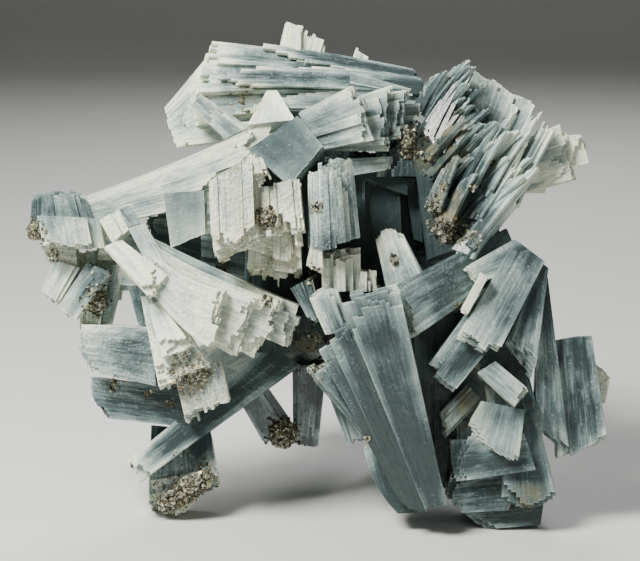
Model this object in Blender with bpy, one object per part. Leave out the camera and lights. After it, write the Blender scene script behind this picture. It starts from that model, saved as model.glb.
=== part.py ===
"""An anhydrite crystal cluster: fans of flat blades grown through each other, with crusts of dark ore.

The crystals are one intergrown solid. Each fan is a stack of leaves, and each leaf is a plate whose end is
cut in square steps, one for each lath, because anhydrite cleaves at right angles. The ore crusts are lumps of
their own, seated in shallow pockets in the crystals.

Places are given in the growth frame, in millimetres: across (to the right), up, and deep (away from the
front). They are given as an eye EYE_DISTANCE in front of the cluster sees them, so a place that lies deeper
spreads outward in proportion. The growth frame leans back by LEAN from the table.
"""

import math
from dataclasses import dataclass

import bmesh
import bpy
import numpy as np
from mathutils import Matrix, Vector
from mathutils.bvhtree import BVHTree

MM = 0.001
LEAN = math.radians(12.0)
EYE_DISTANCE = 444.0
TABLE_UP = -62.5  # where the table crosses the growth frame's front plane
CENTRE = (0.3, 20.8)  # across and deep of the point that stands over the row's origin
LEAF_OVERLAP = 0.25  # how far a leaf sinks into the next one
REACH = 0.5  # share of its raggedness by which the longest lath passes a fan's drawn tip
SEAT_GAP = 0.35  # free space between an ore crust and its pocket
BLOCK = 300.0  # side of the block that trims the cluster at the table

ANHYDRITE = ("anhydrite", (0.70, 0.77, 0.78, 1.0), 0.42)
ORE = ("ore_crust", (0.20, 0.16, 0.11, 1.0), 0.75)


@dataclass
class Crust:
    """One lump of ore. It sits where the eye's line through across and up first meets the crystals."""

    name: str
    across: float
    up: float
    half_size: tuple  # half its width, height and depth


CRUSTS = [
    Crust("ore_crust_foot", -33.25, -52.5, (8.0, 5.0, 2.6)),
    Crust("ore_crust_left_fan", -56.0, -5.0, (3.3, 3.3, 2.6)),
    Crust("ore_crust_left_tip", -71.25, 12.25, (2.2, 2.6, 2.0)),
    Crust("ore_crust_back_stub", -9.5, -38.0, (4.0, 4.0, 2.8)),
    Crust("ore_crust_heart", -13.5, 15.5, (2.1, 2.1, 1.6)),
    Crust("ore_crust_ledge", -32.0, -24.0, (5.0, 2.8, 1.8)),
    Crust("ore_crust_book_root", 32.5, 12.0, (3.2, 2.4, 2.0)),
    Crust("ore_crust_crown_end", 22.0, 34.5, (2.0, 4.0, 2.0)),
]


@dataclass
class Fan:
    """One fan, by the corners of its front face. Left and right are those of a traveller going from the root
    to the tip with the front face showing. Each corner is (across, up, deep)."""

    name: str
    root_left: tuple
    root_right: tuple
    tip_left: tuple
    tip_right: tuple
    thick: tuple = (5.0, 5.0)  # at the root, at the tip
    leaves: int = 1
    laths: int = 3
    ragged: float = 1.0  # how far the lath ends step back
    root_ragged: float = 0.0
    bow: float = 0.0  # how far the middle of the fan curves to the right
    arch: float = 0.0  # how far the front face swells


# The growth order is from the crown down the left side, then the middle, the right side and the back.
FANS = [
    Fan("crown_upper", (26, 50, 16), (24, 53, 18), (-29, 55, 6), (-27.75, 61.5, 8),
        (7, 9), 2, 4, 3.0, 2.0, bow=1.0),
    Fan("crown_middle", (26, 46, 11), (26, 51.5, 15), (-30.5, 47.5, 2), (-29, 57.5, 4),
        (7, 10), 2, 4, 3.0, 2.0, bow=1.5),
    Fan("crown_lower", (12, 42, 10), (14, 48, 12), (-32, 40.5, 2), (-30.5, 50, 3),
        (6, 10), 2, 4, 3.0, 2.0, bow=1.0),
    Fan("crown_tongue", (7.5, 52.5, 10), (7.5, 45, 10), (27, 47, 11), (27.5, 43.5, 11),
        (5, 5), 1, 2, 1.0),
    Fan("crown_tail", (-24, 35.25, 2), (-17.5, 38.5, 2), (-33.25, 44.5, 2), (-30, 47, 2),
        (3, 3), 1, 3, 1.0),
    Fan("crown_block", (-23.75, 34.75, 10), (-28.75, 56, 10), (-37, 33.25, 12), (-39.75, 42.75, 12),
        (8, 10), 1, 4, 1.5),
    Fan("knob_block", (-11, 55, 14), (-4, 54.5, 14), (-8.5, 65.5, 14), (-4.25, 64.5, 14),
        (6, 6), 1, 2, 0.6),
    Fan("knob_fan", (-6.5, 54.5, 15), (0, 53.5, 15), (-4.25, 63.75, 15), (2.25, 60.5, 15),
        (5, 5), 1, 5, 1.0),
    Fan("top_chip", (6.5, 51, 17), (10.5, 50, 17), (9.25, 59.25, 19), (12.5, 57, 19), (3, 3), 1, 1),
    Fan("wedge_tip", (-18.25, 39, 0), (-5.75, 40.25, -1), (-12.75, 48.5, 5), (-11.25, 48.5, 5),
        (10, 4), 1, 1),
    Fan("wedge_face", (-5.5, 41.25, -3), (-18, 32.75, -3), (1, 33.5, -4), (-7, 23, -5),
        (10, 8), 1, 2, 0.3),
    Fan("left_arm", (-62, 20.5, 2), (-58, 13, 2), (-8, 43.5, -1.5), (-18, 22, -1),
        (6, 9), 2, 4, 2.0, bow=1.0),
    Fan("left_block_upper", (-73, 10.5, -1), (-55, 10, -1), (-72.25, 23.25, -1), (-59.5, 22.75, 0),
        (10, 9), 1, 4, 1.0, arch=1.5),
    Fan("left_block_lower", (-55.25, 15.5, -4), (-71, 16.25, -4), (-53.75, 7.5, -4), (-69.25, 8, -3),
        (9, 8), 1, 4, 1.0, arch=2.0),
    Fan("left_chin", (-60.5, 3, 1), (-61.25, 9.25, 1), (-69, 4, 1), (-71.75, 9.5, 1), (8, 7), 1, 3, 1.0),
    Fan("left_low_fan", (-59.5, 3, 0), (-67.5, 5.5, 0), (-66, -7.25, 0), (-70.25, -3, 0),
        (8, 7), 2, 3, 1.5),
    Fan("left_low_blade", (-52, 2, -2), (-58.5, 4.5, -2), (-61.25, -10.75, -2), (-66, -7, -2),
        (6, 6), 1, 3, 1.5),
    Fan("left_dome", (-60.5, -12, 2), (-52.5, -11.5, 2), (-60, 4, 2), (-48.5, 4.5, 2),
        (8, 8), 1, 4, 1.0),
    Fan("left_dome_back", (-60, -5, 6), (-50, -5, 6), (-62, 9, 6), (-48, 9, 6), (5, 5), 1, 2, 0.5),
    Fan("window_lintel", (-52.5, 4.5, 4), (-52, -2.5, 4), (-42.5, 1.25, 4), (-42.5, -3, 4),
        (4, 4), 1, 2, 0.5),
    Fan("window_post", (-42, -1.25, 3), (-48.25, -1.25, 3), (-41.25, -12, 3), (-45.25, -12, 3),
        (4, 4), 1, 2, 0.5),
    Fan("left_slab", (-41, -27.25, -3), (-42, -10.75, -3), (-59, -23, -3), (-62.25, -10.25, -3),
        (7, 7), 2, 4, 1.5),
    Fan("lower_slab", (-33.5, -37, 3), (-34.5, -26.75, 3), (-55.5, -34.75, 3), (-59.25, -23.25, 3),
        (8, 7), 2, 3, 1.5),
    Fan("white_arm", (-49.5, 10.5, -7), (-54.25, 8.25, -7), (-38, 1.75, -12), (-42.75, -4.25, -12),
        (4, 5), 1, 3, 1.0),
    Fan("white_heel", (-52, 9.25, -6), (-48, 13, -6), (-55.5, 15.25, -5), (-50.5, 18, -5),
        (6, 6), 1, 2, 0.7),
    Fan("grey_facet", (-47.75, 19, -3), (-52, 16.5, -3), (-44.25, 13.5, -4), (-48.5, 12, -4),
        (5, 5), 1, 1),
    Fan("inner_blade", (-44, 14.5, -6), (-48.25, 13, -6), (-38, 4.5, -8), (-42.5, 2.5, -8),
        (5, 5), 1, 3, 1.0),
    Fan("curved_leaf_front", (-40.5, 5.5, -9), (-42.5, -2, -9), (-22.25, -2.5, -13), (-27.25, -17.25, -13),
        (3, 3), 1, 5, 1.5, bow=1.5),
    Fan("curved_leaf_second", (-42, 8.5, -6), (-40, -2.5, -6), (-15, -4.25, -10), (-21.75, -19.25, -10),
        (3, 3.5), 1, 5, 3.0, bow=1.5),
    Fan("curved_leaf_third", (-42.5, 9.5, -4), (-39.5, -2, -4), (-9.75, -4.75, -7), (-15.75, -20.25, -7),
        (3, 3.5), 1, 5, 3.0, bow=1.5),
    Fan("curved_leaf_back", (-43, 11, -1), (-38.75, -1.25, -1), (-4.75, -6.5, -4), (-8, -17, -4),
        (4, 9), 1, 4, 1.5, bow=0.5),
    Fan("second_fan", (-37.5, -4, -4), (-45.25, -4, -4), (-26.5, -21.5, -8), (-41, -27.25, -8),
        (4, 6), 2, 4, 3.0),
    Fan("second_fan_top", (-40, -5, -7), (-43, -6.25, -7), (-31.75, -16, -11), (-39.25, -20.5, -11),
        (2, 3.5), 1, 3, 1.0),
    Fan("crusty_block", (-23.75, -19.25, -4), (-37, -25.5, -4), (-21.5, -32.25, -4), (-34.25, -36.75, -4),
        (7, 7.5), 2, 4, 2.0),
    Fan("rod", (-4.25, -21.5, 6), (-13.5, -15.75, 6), (-46, -51.75, 1), (-48.75, -45, 1),
        (8, 7), 2, 3, 1.5),
    Fan("foot", (-26.75, -37.5, 10), (-43, -36, 10), (-24.5, -50, 7), (-44, -58, 7),
        (10, 12), 2, 4, 2.0),
    Fan("foot_point", (-28.75, -47.5, 6), (-42.5, -50, 6), (-32.5, -59, 6), (-39.25, -60.5, 6),
        (10, 9), 1, 3, 0.4),
    Fan("back_stub_a", (-13, -27, 9), (-19.5, -31.5, 9), (-5.75, -37.5, 14), (-13.5, -42, 14),
        (7, 8), 1, 3, 1.5),
    Fan("back_stub_b", (1.75, -21.25, 14), (-7, -21.25, 14), (-0.5, -42.5, 18), (-6.75, -41.5, 18),
        (8, 7), 1, 2, 0.5),
    Fan("recess_blade", (-30, 4.5, 8), (-30, 21.25, 8), (-43.75, 8.75, 8), (-48, 19, 8),
        (5, 5), 1, 2, 1.0),
    Fan("centre_cube", (-28.75, 22.5, 0), (-39.25, 21.75, 0), (-28.5, 11, 2), (-37.25, 7.5, 3),
        (12, 10), 1, 2, 1.0),
    Fan("white_block", (-16, 32.5, -12), (-28.5, 24.25, -12), (-15.25, 10.5, -16), (-27.75, 5.25, -16),
        (11, 13), 2, 4, 1.0),
    Fan("white_lump", (-14.5, 31.25, -12), (-18.5, 30, -12), (-12, 25.5, -14), (-17.5, 24, -14),
        (6, 6), 1, 2, 0.5),
    Fan("white_steps_upper", (-4.25, 26, -9), (-17.5, 24.5, -9), (-2.75, 11.5, -13), (-17, 9.25, -13),
        (9, 9), 3, 4, 3.0, 2.0),
    Fan("white_steps_lower", (-4, 13, -6), (-18.5, 12, -6), (-3.75, 0.75, -10), (-19.5, 1.5, -9),
        (11, 12), 2, 4, 1.5),
    Fan("column", (-3, 6.5, -11), (10.25, 9.5, -11), (-3, 29, -12), (8, 32, -12),
        (12, 10), 1, 4, 2.0, 1.5, arch=3.0),
    Fan("column_side", (0.5, 11, -12), (-2, 11, -12), (1.25, -0.5, -11), (-4, 2, -11),
        (8, 14), 1, 2, 1.0),
    Fan("column_lower", (0.5, -3, -9), (10.25, -2.5, -9), (0, 8.25, -9), (10.25, 9.25, -9),
        (12, 12), 1, 3, 1.5),
    Fan("companion_plate", (1.25, -13.75, -9), (8, -12, -9), (-3.25, -3.75, -10), (4, -0.5, -10),
        (5, 6), 1, 3, 1.0),
    Fan("central_fan", (26, -57.25, -8), (32, -56, -8), (4, -4.5, -15), (20.5, -0.75, -15),
        (5, 6), 2, 5, 2.5),
    Fan("central_leaf_second", (22, -57, -6), (27, -57.75, -6), (1.5, -14.25, -12), (8, -10, -12),
        (3, 4), 1, 3, 2.0),
    Fan("central_leaf_third", (19.5, -55, -4), (24.5, -57.75, -4), (-1, -17.5, -9), (4.5, -14.5, -9),
        (3, 4), 1, 3, 2.0),
    Fan("central_leaf_fourth", (21.5, -50.5, -2), (23, -56.25, -2), (-1.75, -22.5, -7), (2.5, -20, -7),
        (3, 6), 1, 3, 2.0),
    Fan("central_leaf_low", (19, -58.25, -2), (25.5, -58, -2), (10.5, -41.75, -2), (19.5, -35, -2),
        (6, 7), 2, 3, 1.0, bow=-1.5),
    Fan("mid_stub", (14, -30, 1), (0, -24, 1), (13, -41.5, 4), (6.5, -41, 4), (7, 6), 1, 3, 1.5),
    Fan("recess_wall", (37.5, -7, 2), (21.25, -12, 2), (32.5, -55, 4), (25, -55, 4),
        (12, 12), 1, 1, 1.0),
    Fan("right_arm", (50.5, 4, -3), (46.5, 13.5, -3), (23.75, -15.25, -9), (17.5, -1.25, -9),
        (6, 8), 2, 3, 1.0),
    Fan("right_leaf_short", (56.5, 4.5, -6), (48.5, 10.5, -6), (39, -0.75, -9), (35.5, 3, -9),
        (3, 4), 1, 2, 0.7),
    Fan("right_leaf_long", (56.75, 4.5, -6), (48, 10, -6), (44.75, -19.5, -13), (34, -13.75, -13),
        (4, 5), 2, 4, 3.0),
    Fan("right_leaf_low", (47, -12.5, -8), (40.5, -2, -8), (34, -28.25, -8), (26, -22.25, -8),
        (6, 8), 2, 3, 2.0),
    Fan("right_sliver", (42, 0.75, -13), (40.25, 1.75, -13), (36.75, -9, -12), (35, -8, -12),
        (5, 5), 1, 1),
    Fan("right_leaf_side", (57.25, 3, -5), (54, 5.5, -5), (54, -25, -9), (46.5, -16.25, -9),
        (5, 6), 2, 4, 3.0),
    Fan("right_prism", (44, -20, -10), (39.25, -23, -10), (52.25, -27, -12), (49, -32, -12),
        (8, 9), 1, 2, 0.7),
    Fan("right_rib", (57, 1, -4), (55, 0.5, -4), (63, -44.75, -3), (53.25, -36.25, -3),
        (5, 7), 2, 3, 2.0),
    Fan("far_right_slab", (68.25, -13.5, -1), (58, -15, -1), (72.5, -40.25, -1), (59, -46, -1),
        (7, 8), 2, 4, 1.0, 0.5),
    Fan("right_nub", (67.5, -31.25, 3), (71.5, -30.5, 3), (68, -18.75, 3), (73, -24, 3),
        (6, 6), 1, 2, 0.7),
    Fan("mass_leaf", (52, -32.5, -8), (40, -30, -8), (50.25, -48.75, -9), (35.5, -37.5, -9),
        (5, 6), 2, 4, 1.5),
    Fan("mass_right", (55.75, -37.5, -4), (45.75, -30, -4), (60.5, -57, -5), (45, -58.5, -5),
        (12, 12), 2, 4, 1.5),
    Fan("mass_left", (54, -47.5, -7), (51, -38, -7), (31, -51, -5), (36, -38.5, -5),
        (9, 10), 1, 3, 1.0),
    Fan("mass_base", (55, -61.25, 0), (56.25, -53, 0), (40, -62.5, 0), (33, -56.25, 0),
        (16, 14), 1, 3, 1.0),
    Fan("recess_leaf", (40.75, -30, -2), (37, -26.25, -2), (31.5, -39.5, -2), (29.5, -34, -2),
        (6, 6), 1, 3, 1.5),
    Fan("recess_stub", (36.75, -40, -3), (32.5, -40, -3), (37, -46.5, -3), (33.25, -47, -3),
        (6, 6), 1, 2, 0.5),
    Fan("book_base", (27, 5.5, 0), (45, 11.25, 0), (23, 33.75, 2), (45, 28.75, 2), (18, 14), 1, 1, 2.0),
    Fan("book_back_page", (31.5, 22.5, 4), (41.5, 18.75, 4), (38.5, 54, 9), (54.5, 44.75, 9),
        (5, 4), 1, 4, 1.5, arch=-1.5),
    Fan("book_page_far", (26, 45, 8), (28, 43, 8), (27, 51.25, 8), (30.25, 53.25, 8), (3, 2), 1, 1),
    Fan("book_page_1", (24.5, 39.5, 6), (28.5, 32, 1), (36.25, 53.5, 5.5), (40.5, 56.5, 0.5),
        (2, 1.5), 1, 3, 1.5),
    Fan("book_page_2", (27.25, 37.75, 4.5), (30.25, 31, -0.5), (39.25, 47.75, 4), (42.5, 50.75, -1),
        (2, 1.5), 1, 2, 1.0),
    Fan("book_page_3", (32, 38.5, 3.5), (33.5, 32, -1), (39.5, 41.5, 3), (42, 42.25, -1.5),
        (2, 1.5), 1, 2, 0.7),
    Fan("book_page_4", (24.25, 17.25, 0), (31, 16.25, -6), (31.5, 31, -0.5), (37, 34.5, -6.5),
        (2, 1.5), 1, 3, 1.0),
    Fan("book_page_5", (31.5, 23, 2), (35.5, 22.75, -4), (40.5, 36.75, 1.5), (45.5, 40.5, -4.5),
        (2, 1.5), 1, 2, 1.0),
    Fan("book_page_6", (35, 24, 1), (38.25, 22, -5), (42.25, 35.5, 0.5), (47.5, 38.75, -5.5),
        (2, 1.5), 1, 2, 1.0),
    Fan("book_page_7", (41, 34.75, 4), (44.25, 34, 0), (47, 41.5, 3.5), (49.75, 43.5, -0.5),
        (2, 1.5), 1, 2, 0.7),
    Fan("book_page_8", (38.25, 22.75, 1), (42.25, 20.75, -5), (48.75, 36, 0.5), (53, 37.75, -5.5),
        (2, 1.5), 1, 2, 1.0),
    Fan("book_page_9", (41.5, 21.25, 2.5), (45, 20, -3), (52.25, 42.5, 2), (56.25, 45, -3.5),
        (2, 1.5), 1, 2, 1.0),
    Fan("book_page_10", (33.5, 10, -3), (38.25, 8.25, -8.5), (52, 28, -3.5), (57.5, 31.5, -9),
        (2.5, 2), 1, 2, 1.0),
    Fan("book_page_11", (32, 7.5, -3), (37.25, 5.25, -7), (45, 18.75, -3.5), (49.25, 20.5, -7.5),
        (4, 3), 1, 2, 1.0),
    Fan("book_fan", (48, 35, 3), (46, 20, 3), (61, 40.5, 2), (64.75, 24.75, 2), (8, 8), 2, 4, 2.0),
    Fan("book_fan_edge", (52.5, 36, 5), (54, 25, 5), (66, 37, 4), (68.5, 29.25, 4), (6, 5), 2, 4, 1.5),
    Fan("book_fan_hem", (48.75, 27.5, 5), (48, 22, 5), (58, 25, 6), (57, 21.75, 6), (5, 4), 1, 2, 0.7),
    Fan("shade_blades", (28, 25, 10), (14.5, 24, 10), (28, 5.5, 10), (20, 7, 10), (10, 8), 2, 2, 2.0),
    Fan("shade_bar", (8, 30, 6), (9, 25.5, 6), (24.5, 24.5, 6), (22.5, 21, 6), (5, 5), 1, 1),
    Fan("tray_leaf_front", (-5.75, 42, 0), (-0.5, 32, 0), (8, 49, -7), (13, 34.5, -7),
        (3, 4), 1, 4, 3.0),
    Fan("tray_leaf_second", (-5, 42, 3), (1, 31.75, 3), (17.75, 49.5, -3), (16.75, 31.25, -3),
        (4, 5), 2, 5, 2.5),
    Fan("tray_leaf_third", (2.5, 45, 5), (5, 33.75, 5), (21.5, 48, 1), (21.25, 35.5, 1),
        (4, 6), 1, 4, 2.0),
    Fan("tray_leaf_back", (7.5, 43.75, 7), (10, 32.5, 7), (26, 44.5, 6), (25, 37.5, 6),
        (5, 6), 1, 3, 1.5),
    Fan("tray_bar", (2.5, 30.5, 2), (3.5, 25.5, 2), (18.75, 31.25, 2), (18.75, 28, 2),
        (6, 6), 1, 2, 0.5),
    Fan("small_peak", (16.5, -2.5, -6), (26, 2, -6), (13.25, 12.75, -3), (19.5, 14.5, -3),
        (6, 5), 1, 4, 2.0),
    Fan("heart", (-20, -18, 4), (22, -18, 4), (-18, 34, 6), (20, 34, 6), (24, 24), 1, 1, 0.5),
    Fan("back_upper_left", (-12, 20, 24), (0, 34, 24), (-32, 38, 36), (-18, 52, 38), (12, 9), 2, 2, 3.0),
    Fan("back_top", (-8, 25, 24), (10, 25, 24), (-10, 54, 38), (12, 53, 40), (12, 9), 2, 2, 3.0),
    Fan("back_upper_right", (8, 28, 18), (20, 12, 18), (30, 44, 32), (46, 32, 30), (12, 8), 2, 2, 3.0),
    Fan("back_right", (14, 16, 20), (14, -8, 20), (49, 8, 26), (52, -12, 26), (12, 9), 2, 2, 3.0),
    Fan("back_lower_right", (22, -4, 12), (10, -20, 12), (52, -28, 18), (36, -46, 20),
        (12, 10), 2, 3, 3.0),
    Fan("back_foot", (30, -8, 22), (8, -10, 22), (32, -50, 46), (14, -50, 46), (12, 9), 2, 3, 0.8),
    Fan("back_lower_left", (2, -20, 16), (-10, -4, 16), (-20, -30, 26), (-34, -18, 24),
        (10, 8), 2, 3, 2.5),
    Fan("back_left", (-8, -2, 18), (-8, 22, 18), (-38, 4, 22), (-42, 24, 22), (12, 9), 2, 2, 2.5),
    Fan("back_centre", (-12, 6, 22), (12, 6, 22), (-18, 16, 58), (12, 14, 60), (12, 8), 2, 2, 3.0),
    Fan("back_centre_low", (-10, -10, 20), (14, -10, 20), (-12, -20, 54), (12, -22, 56),
        (12, 8), 2, 3, 3.0),
    Fan("back_right_spray", (14, 10, 24), (20, -4, 24), (32, 22, 52), (42, 4, 50), (10, 7), 2, 2, 2.5),
    Fan("back_left_spray", (-18, -10, 20), (-10, 8, 20), (-32, -8, 46), (-26, 10, 50),
        (10, 7), 2, 3, 2.5),
    Fan("right_panel", (50, -12, -4), (38, -12, -4), (57, -38, -4), (43, -42, -4), (7, 7), 2, 3, 1.5),
    Fan("recess_floor", (46, -35, 0), (33, -35, 0), (46, -50, 0), (33, -50, 0), (8, 8), 1, 1, 0.0),
    Fan("left_neck", (-43, 5, 2), (-43, 14, 2), (-56, 5, 2), (-56, 14, 2), (6, 6), 1, 1, 0.0),
    Fan("crown_root", (14, 26, 4), (25, 26, 4), (14, 39, 4), (24, 38, 4), (9, 9), 1, 2, 1.0),
    Fan("ledge_back", (-31, -29, 4), (-32, -20, 4), (-43, -29, 4), (-43, -20, 4), (5, 5), 1, 1, 0.0),
    Fan("book_page_12", (44.25, 20, 1.5), (47.75, 18, -4), (55.75, 41.75, 1), (59.25, 40.75, -4.5),
        (2.5, 2), 1, 2, 1.0),
    Fan("book_page_13", (27.5, 14.75, -1), (32.25, 13, -6.5), (36.25, 27.25, -1.5), (40.5, 29, -7),
        (2, 1.5), 1, 2, 1.0),
    Fan("book_page_14", (36.25, 15.75, -1), (40.25, 14, -6.5), (47.75, 28.75, -1.5), (51.25, 30.75, -7),
        (2, 1.5), 1, 2, 1.0),
    Fan("column_step_upper", (9.5, -3, -8), (14.5, -2.5, -8), (10, 4.75, -8), (14.25, 3.75, -8),
        (11, 11), 1, 2, 0.7),
    Fan("column_step_lower", (13.5, -3, -7), (16.25, -3, -7), (14, 0.75, -7), (15.75, -0.5, -7),
        (9, 9), 1, 1),
    Fan("recess_plate", (-2, 1, -5), (-7.5, -2, -5), (1.25, -11.25, -5), (-2.75, -10.25, -5),
        (10, 10), 1, 2, 1.0),
    Fan("mass_low", (47, -57.5, -3), (51.5, -46.5, -3), (32.5, -58.25, -1), (30.5, -49, -1),
        (7, 7), 1, 3, 1.5),
]


def place(across, up, deep):
    """The true place of a point that the eye sees at across and up, deep behind the front plane."""
    spread = 1.0 + deep / EYE_DISTANCE
    return np.array([across * spread, deep, up * spread])


def unit(vector):
    return vector / np.linalg.norm(vector)


def slide(point, on, normal):
    """The point moved along the eye's line of sight onto the plane through on, so that a leaf is flat."""
    eye = np.array([0.0, -EYE_DISTANCE, 0.0])
    sight = point - eye
    return eye + sight * np.dot(on - eye, normal) / np.dot(sight, normal)


class Patch:
    """The space that a fan fills: s runs from the root (0) to the tip (1), t from left to right, and h from
    the front face (0) to the back face (1)."""

    def __init__(self, fan):
        root_left, root_right, tip_left = (place(*c) for c in (fan.root_left, fan.root_right, fan.tip_left))
        leaf_normal = np.cross(tip_left - root_left, root_right - root_left)
        tip_right = slide(place(*fan.tip_right), root_left, leaf_normal)
        self.corners = root_left, root_right, tip_left, tip_right
        axis = (tip_left + tip_right - root_left - root_right) / 2
        side = (tip_right + root_right - tip_left - root_left) / 2
        self.length = np.linalg.norm(axis)
        self.width = np.linalg.norm(side)
        self.side = unit(side)
        normal = unit(np.cross(axis, side))
        self.back = normal if normal[1] > 0 else -normal
        self.thick, self.bow, self.arch = fan.thick, fan.bow, fan.arch

    def at(self, s, t, h):
        """The point at s, t and h, in the growth frame."""
        root_left, root_right, tip_left, tip_right = self.corners
        flat = (1 - s) * ((1 - t) * root_left + t * root_right) + s * ((1 - t) * tip_left + t * tip_right)
        bowed = flat + self.bow * 4 * s * (1 - s) * self.side
        depth = h * ((1 - s) * self.thick[0] + s * self.thick[1])
        return bowed + (depth - self.arch * 4 * t * (1 - t) * (1 - h)) * self.back


def lath_ends(draw, fan, leaf):
    """How far each lath of a leaf reaches, as (s at the root, s at the tip), with the ends cut in steps about
    the fan's drawn tip. The leaves nearest the middle of the stack reach furthest."""
    patch = Patch(fan)
    outward = abs(leaf - (fan.leaves - 1) / 2) / max(fan.leaves, 1)
    tips = 1.0 + (REACH - draw.random(fan.laths) - outward) * fan.ragged / patch.length
    roots = draw.random(fan.laths) * fan.root_ragged / patch.length
    return roots, tips


def leaf_outline(draw, fan, leaf):
    """The stepped outline of one leaf, as a loop of (s, t): up the left side, along the lath ends, down the
    right side and back along the roots."""
    roots, tips = lath_ends(draw, fan, leaf)
    inset = 0.03 * (1 + draw.random(2)) if leaf or fan.leaves > 1 else np.zeros(2)
    edges = np.linspace(inset[0], 1 - inset[1], fan.laths + 1)
    edges[1:-1] += (draw.random(fan.laths - 1) - 0.5) * 0.35 / fan.laths
    curved = fan.bow != 0
    loop = [(0.5, edges[0])] if curved else []
    for lath in range(fan.laths):
        loop += [(tips[lath], edges[lath]), (tips[lath], edges[lath + 1])]
    loop += [(0.5, edges[-1])] if curved else []
    if not fan.root_ragged:
        return loop + [(0.0, edges[-1]), (0.0, edges[0])]
    for lath in reversed(range(fan.laths)):
        loop += [(roots[lath], edges[lath + 1]), (roots[lath], edges[lath])]
    return loop


def grow_leaf(mesh, patch, loop, front, back):
    """Adds a plate of the given outline to mesh, between two depths of the fan's stack."""
    rings = [[mesh.verts.new(patch.at(s, t, h)) for s, t in loop] for h in (front, back)]
    faces = [mesh.faces.new(rings[0]), mesh.faces.new(rings[1][::-1])]
    for i in range(len(loop)):
        j = (i + 1) % len(loop)
        faces.append(mesh.faces.new((rings[0][j], rings[0][i], rings[1][i], rings[1][j])))
    bmesh.ops.recalc_face_normals(mesh, faces=faces)


def to_table():
    """The growth frame set on the table: leant back, lifted and centred, in metres."""
    sight = Vector((0, math.cos(LEAN), -math.sin(LEAN)))
    rise = Vector((0, math.sin(LEAN), math.cos(LEAN)))
    lean = Matrix((Vector((1, 0, 0)), sight, rise)).transposed().to_4x4()
    foot = rise * TABLE_UP
    shift = Vector((-CENTRE[0], -CENTRE[1], -foot.z))
    return Matrix.Scale(MM, 4) @ Matrix.Translation(shift) @ lean


def grow_fan(fan, seed, home):
    """Makes one object for each leaf of a fan. Neighbouring leaves sink into each other by LEAF_OVERLAP, and
    the outer leaves stop short, so the stack ends in ledges."""
    draw = np.random.default_rng(seed)
    patch = Patch(fan)
    cuts = np.linspace(0.0, 1.0, fan.leaves + 1)
    cuts[1:-1] += (draw.random(fan.leaves - 1) - 0.5) * 0.4 / fan.leaves
    sink = LEAF_OVERLAP / min(fan.thick)
    grown = []
    for leaf in range(fan.leaves):
        mesh = bmesh.new()
        loop = leaf_outline(draw, fan, leaf)
        front = cuts[leaf] - (sink if leaf else 0.0)
        grow_leaf(mesh, patch, loop, front, cuts[leaf + 1])
        bmesh.ops.triangulate(mesh, faces=mesh.faces)
        mesh.transform(to_table())
        grown.append(keep(mesh, f"{fan.name}_leaf_{leaf + 1}", home))
    return grown


def keep(mesh, name, home):
    """Turns a bmesh into an object of the collection home."""
    data = bpy.data.meshes.new(name)
    mesh.to_mesh(data)
    mesh.free()
    made = bpy.data.objects.new(name, data)
    home.objects.link(made)
    return made


def hide(thing):
    thing.hide_render = True
    thing.display_type = "WIRE"


def boolean(target, operation, other, solver="EXACT"):
    """Adds a Boolean, with an object or with every object of a collection."""
    change = target.modifiers.new(f"{operation.lower()} {other.name}", "BOOLEAN")
    change.operation = operation
    change.solver = solver
    if isinstance(other, bpy.types.Collection):
        change.operand_type = "COLLECTION"
        change.collection = other
    else:
        change.object = other
    return change


def helper_collection(name):
    made = bpy.data.collections.new(name)
    made.hide_render = True
    bpy.context.scene.collection.children.link(made)
    return made


def material(name, colour, roughness):
    made = bpy.data.materials.new(name)
    made.use_nodes = True
    shader = made.node_tree.nodes["Principled BSDF"]
    shader.inputs["Base Color"].default_value = colour
    shader.inputs["Roughness"].default_value = roughness
    made.diffuse_color = colour
    return made


def clear_scene():
    for thing in list(bpy.data.objects):
        bpy.data.objects.remove(thing)


def leaf_objects():
    """Every leaf of every fan, as hidden objects of one collection."""
    home = helper_collection("leaves")
    for number, fan in enumerate(FANS):
        for leaf in grow_fan(fan, number + 1, home):
            hide(leaf)
    return home


def block_below_table(home):
    """A block under the table, which cuts the crystals' lowest corners flat."""
    mesh = bmesh.new()
    bmesh.ops.create_cube(mesh, size=1.0)
    mesh.transform(Matrix.Translation((0, 0, -BLOCK * MM / 2)) @ Matrix.Scale(BLOCK * MM, 4))
    made = keep(mesh, "below_table", home)
    hide(made)
    return made


def grow_lump(crust, at, grown_by, seed, home):
    """A lump of ore about the point at, in the growth frame. grown_by swells it along its normals."""
    draw = np.random.default_rng(seed)
    mesh = bmesh.new()
    bmesh.ops.create_icosphere(mesh, subdivisions=2, radius=1.0)
    for vert in mesh.verts:
        across, deep, up = vert.co * (0.82 + 0.3 * draw.random())
        half = crust.half_size
        vert.co = Vector((across * half[0], deep * half[2], up * half[1]))
    mesh.normal_update()
    moves = [vert.normal * grown_by for vert in mesh.verts]
    for vert, move in zip(mesh.verts, moves):
        vert.co += move
    mesh.transform(to_table() @ Matrix.Translation(at))
    return keep(mesh, crust.name, home)


def evaluated_mesh(thing):
    """A new mesh of the object as its modifiers leave it."""
    graph = bpy.context.evaluated_depsgraph_get()
    return bpy.data.meshes.new_from_object(thing.evaluated_get(graph))


def sight_depth(tree, crust):
    """Where the eye's line through the crust's place first meets the crystals, in the growth frame. Where it
    passes them, the crust's place on the front plane stands in."""
    to_growth = to_table().inverted()
    eye = to_table() @ Vector((0, -EYE_DISTANCE, 0))
    aim = to_table() @ Vector((crust.across, 0, crust.up))
    first_met = tree.ray_cast(eye, aim - eye)[0]
    return to_growth @ (first_met or aim)


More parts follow.
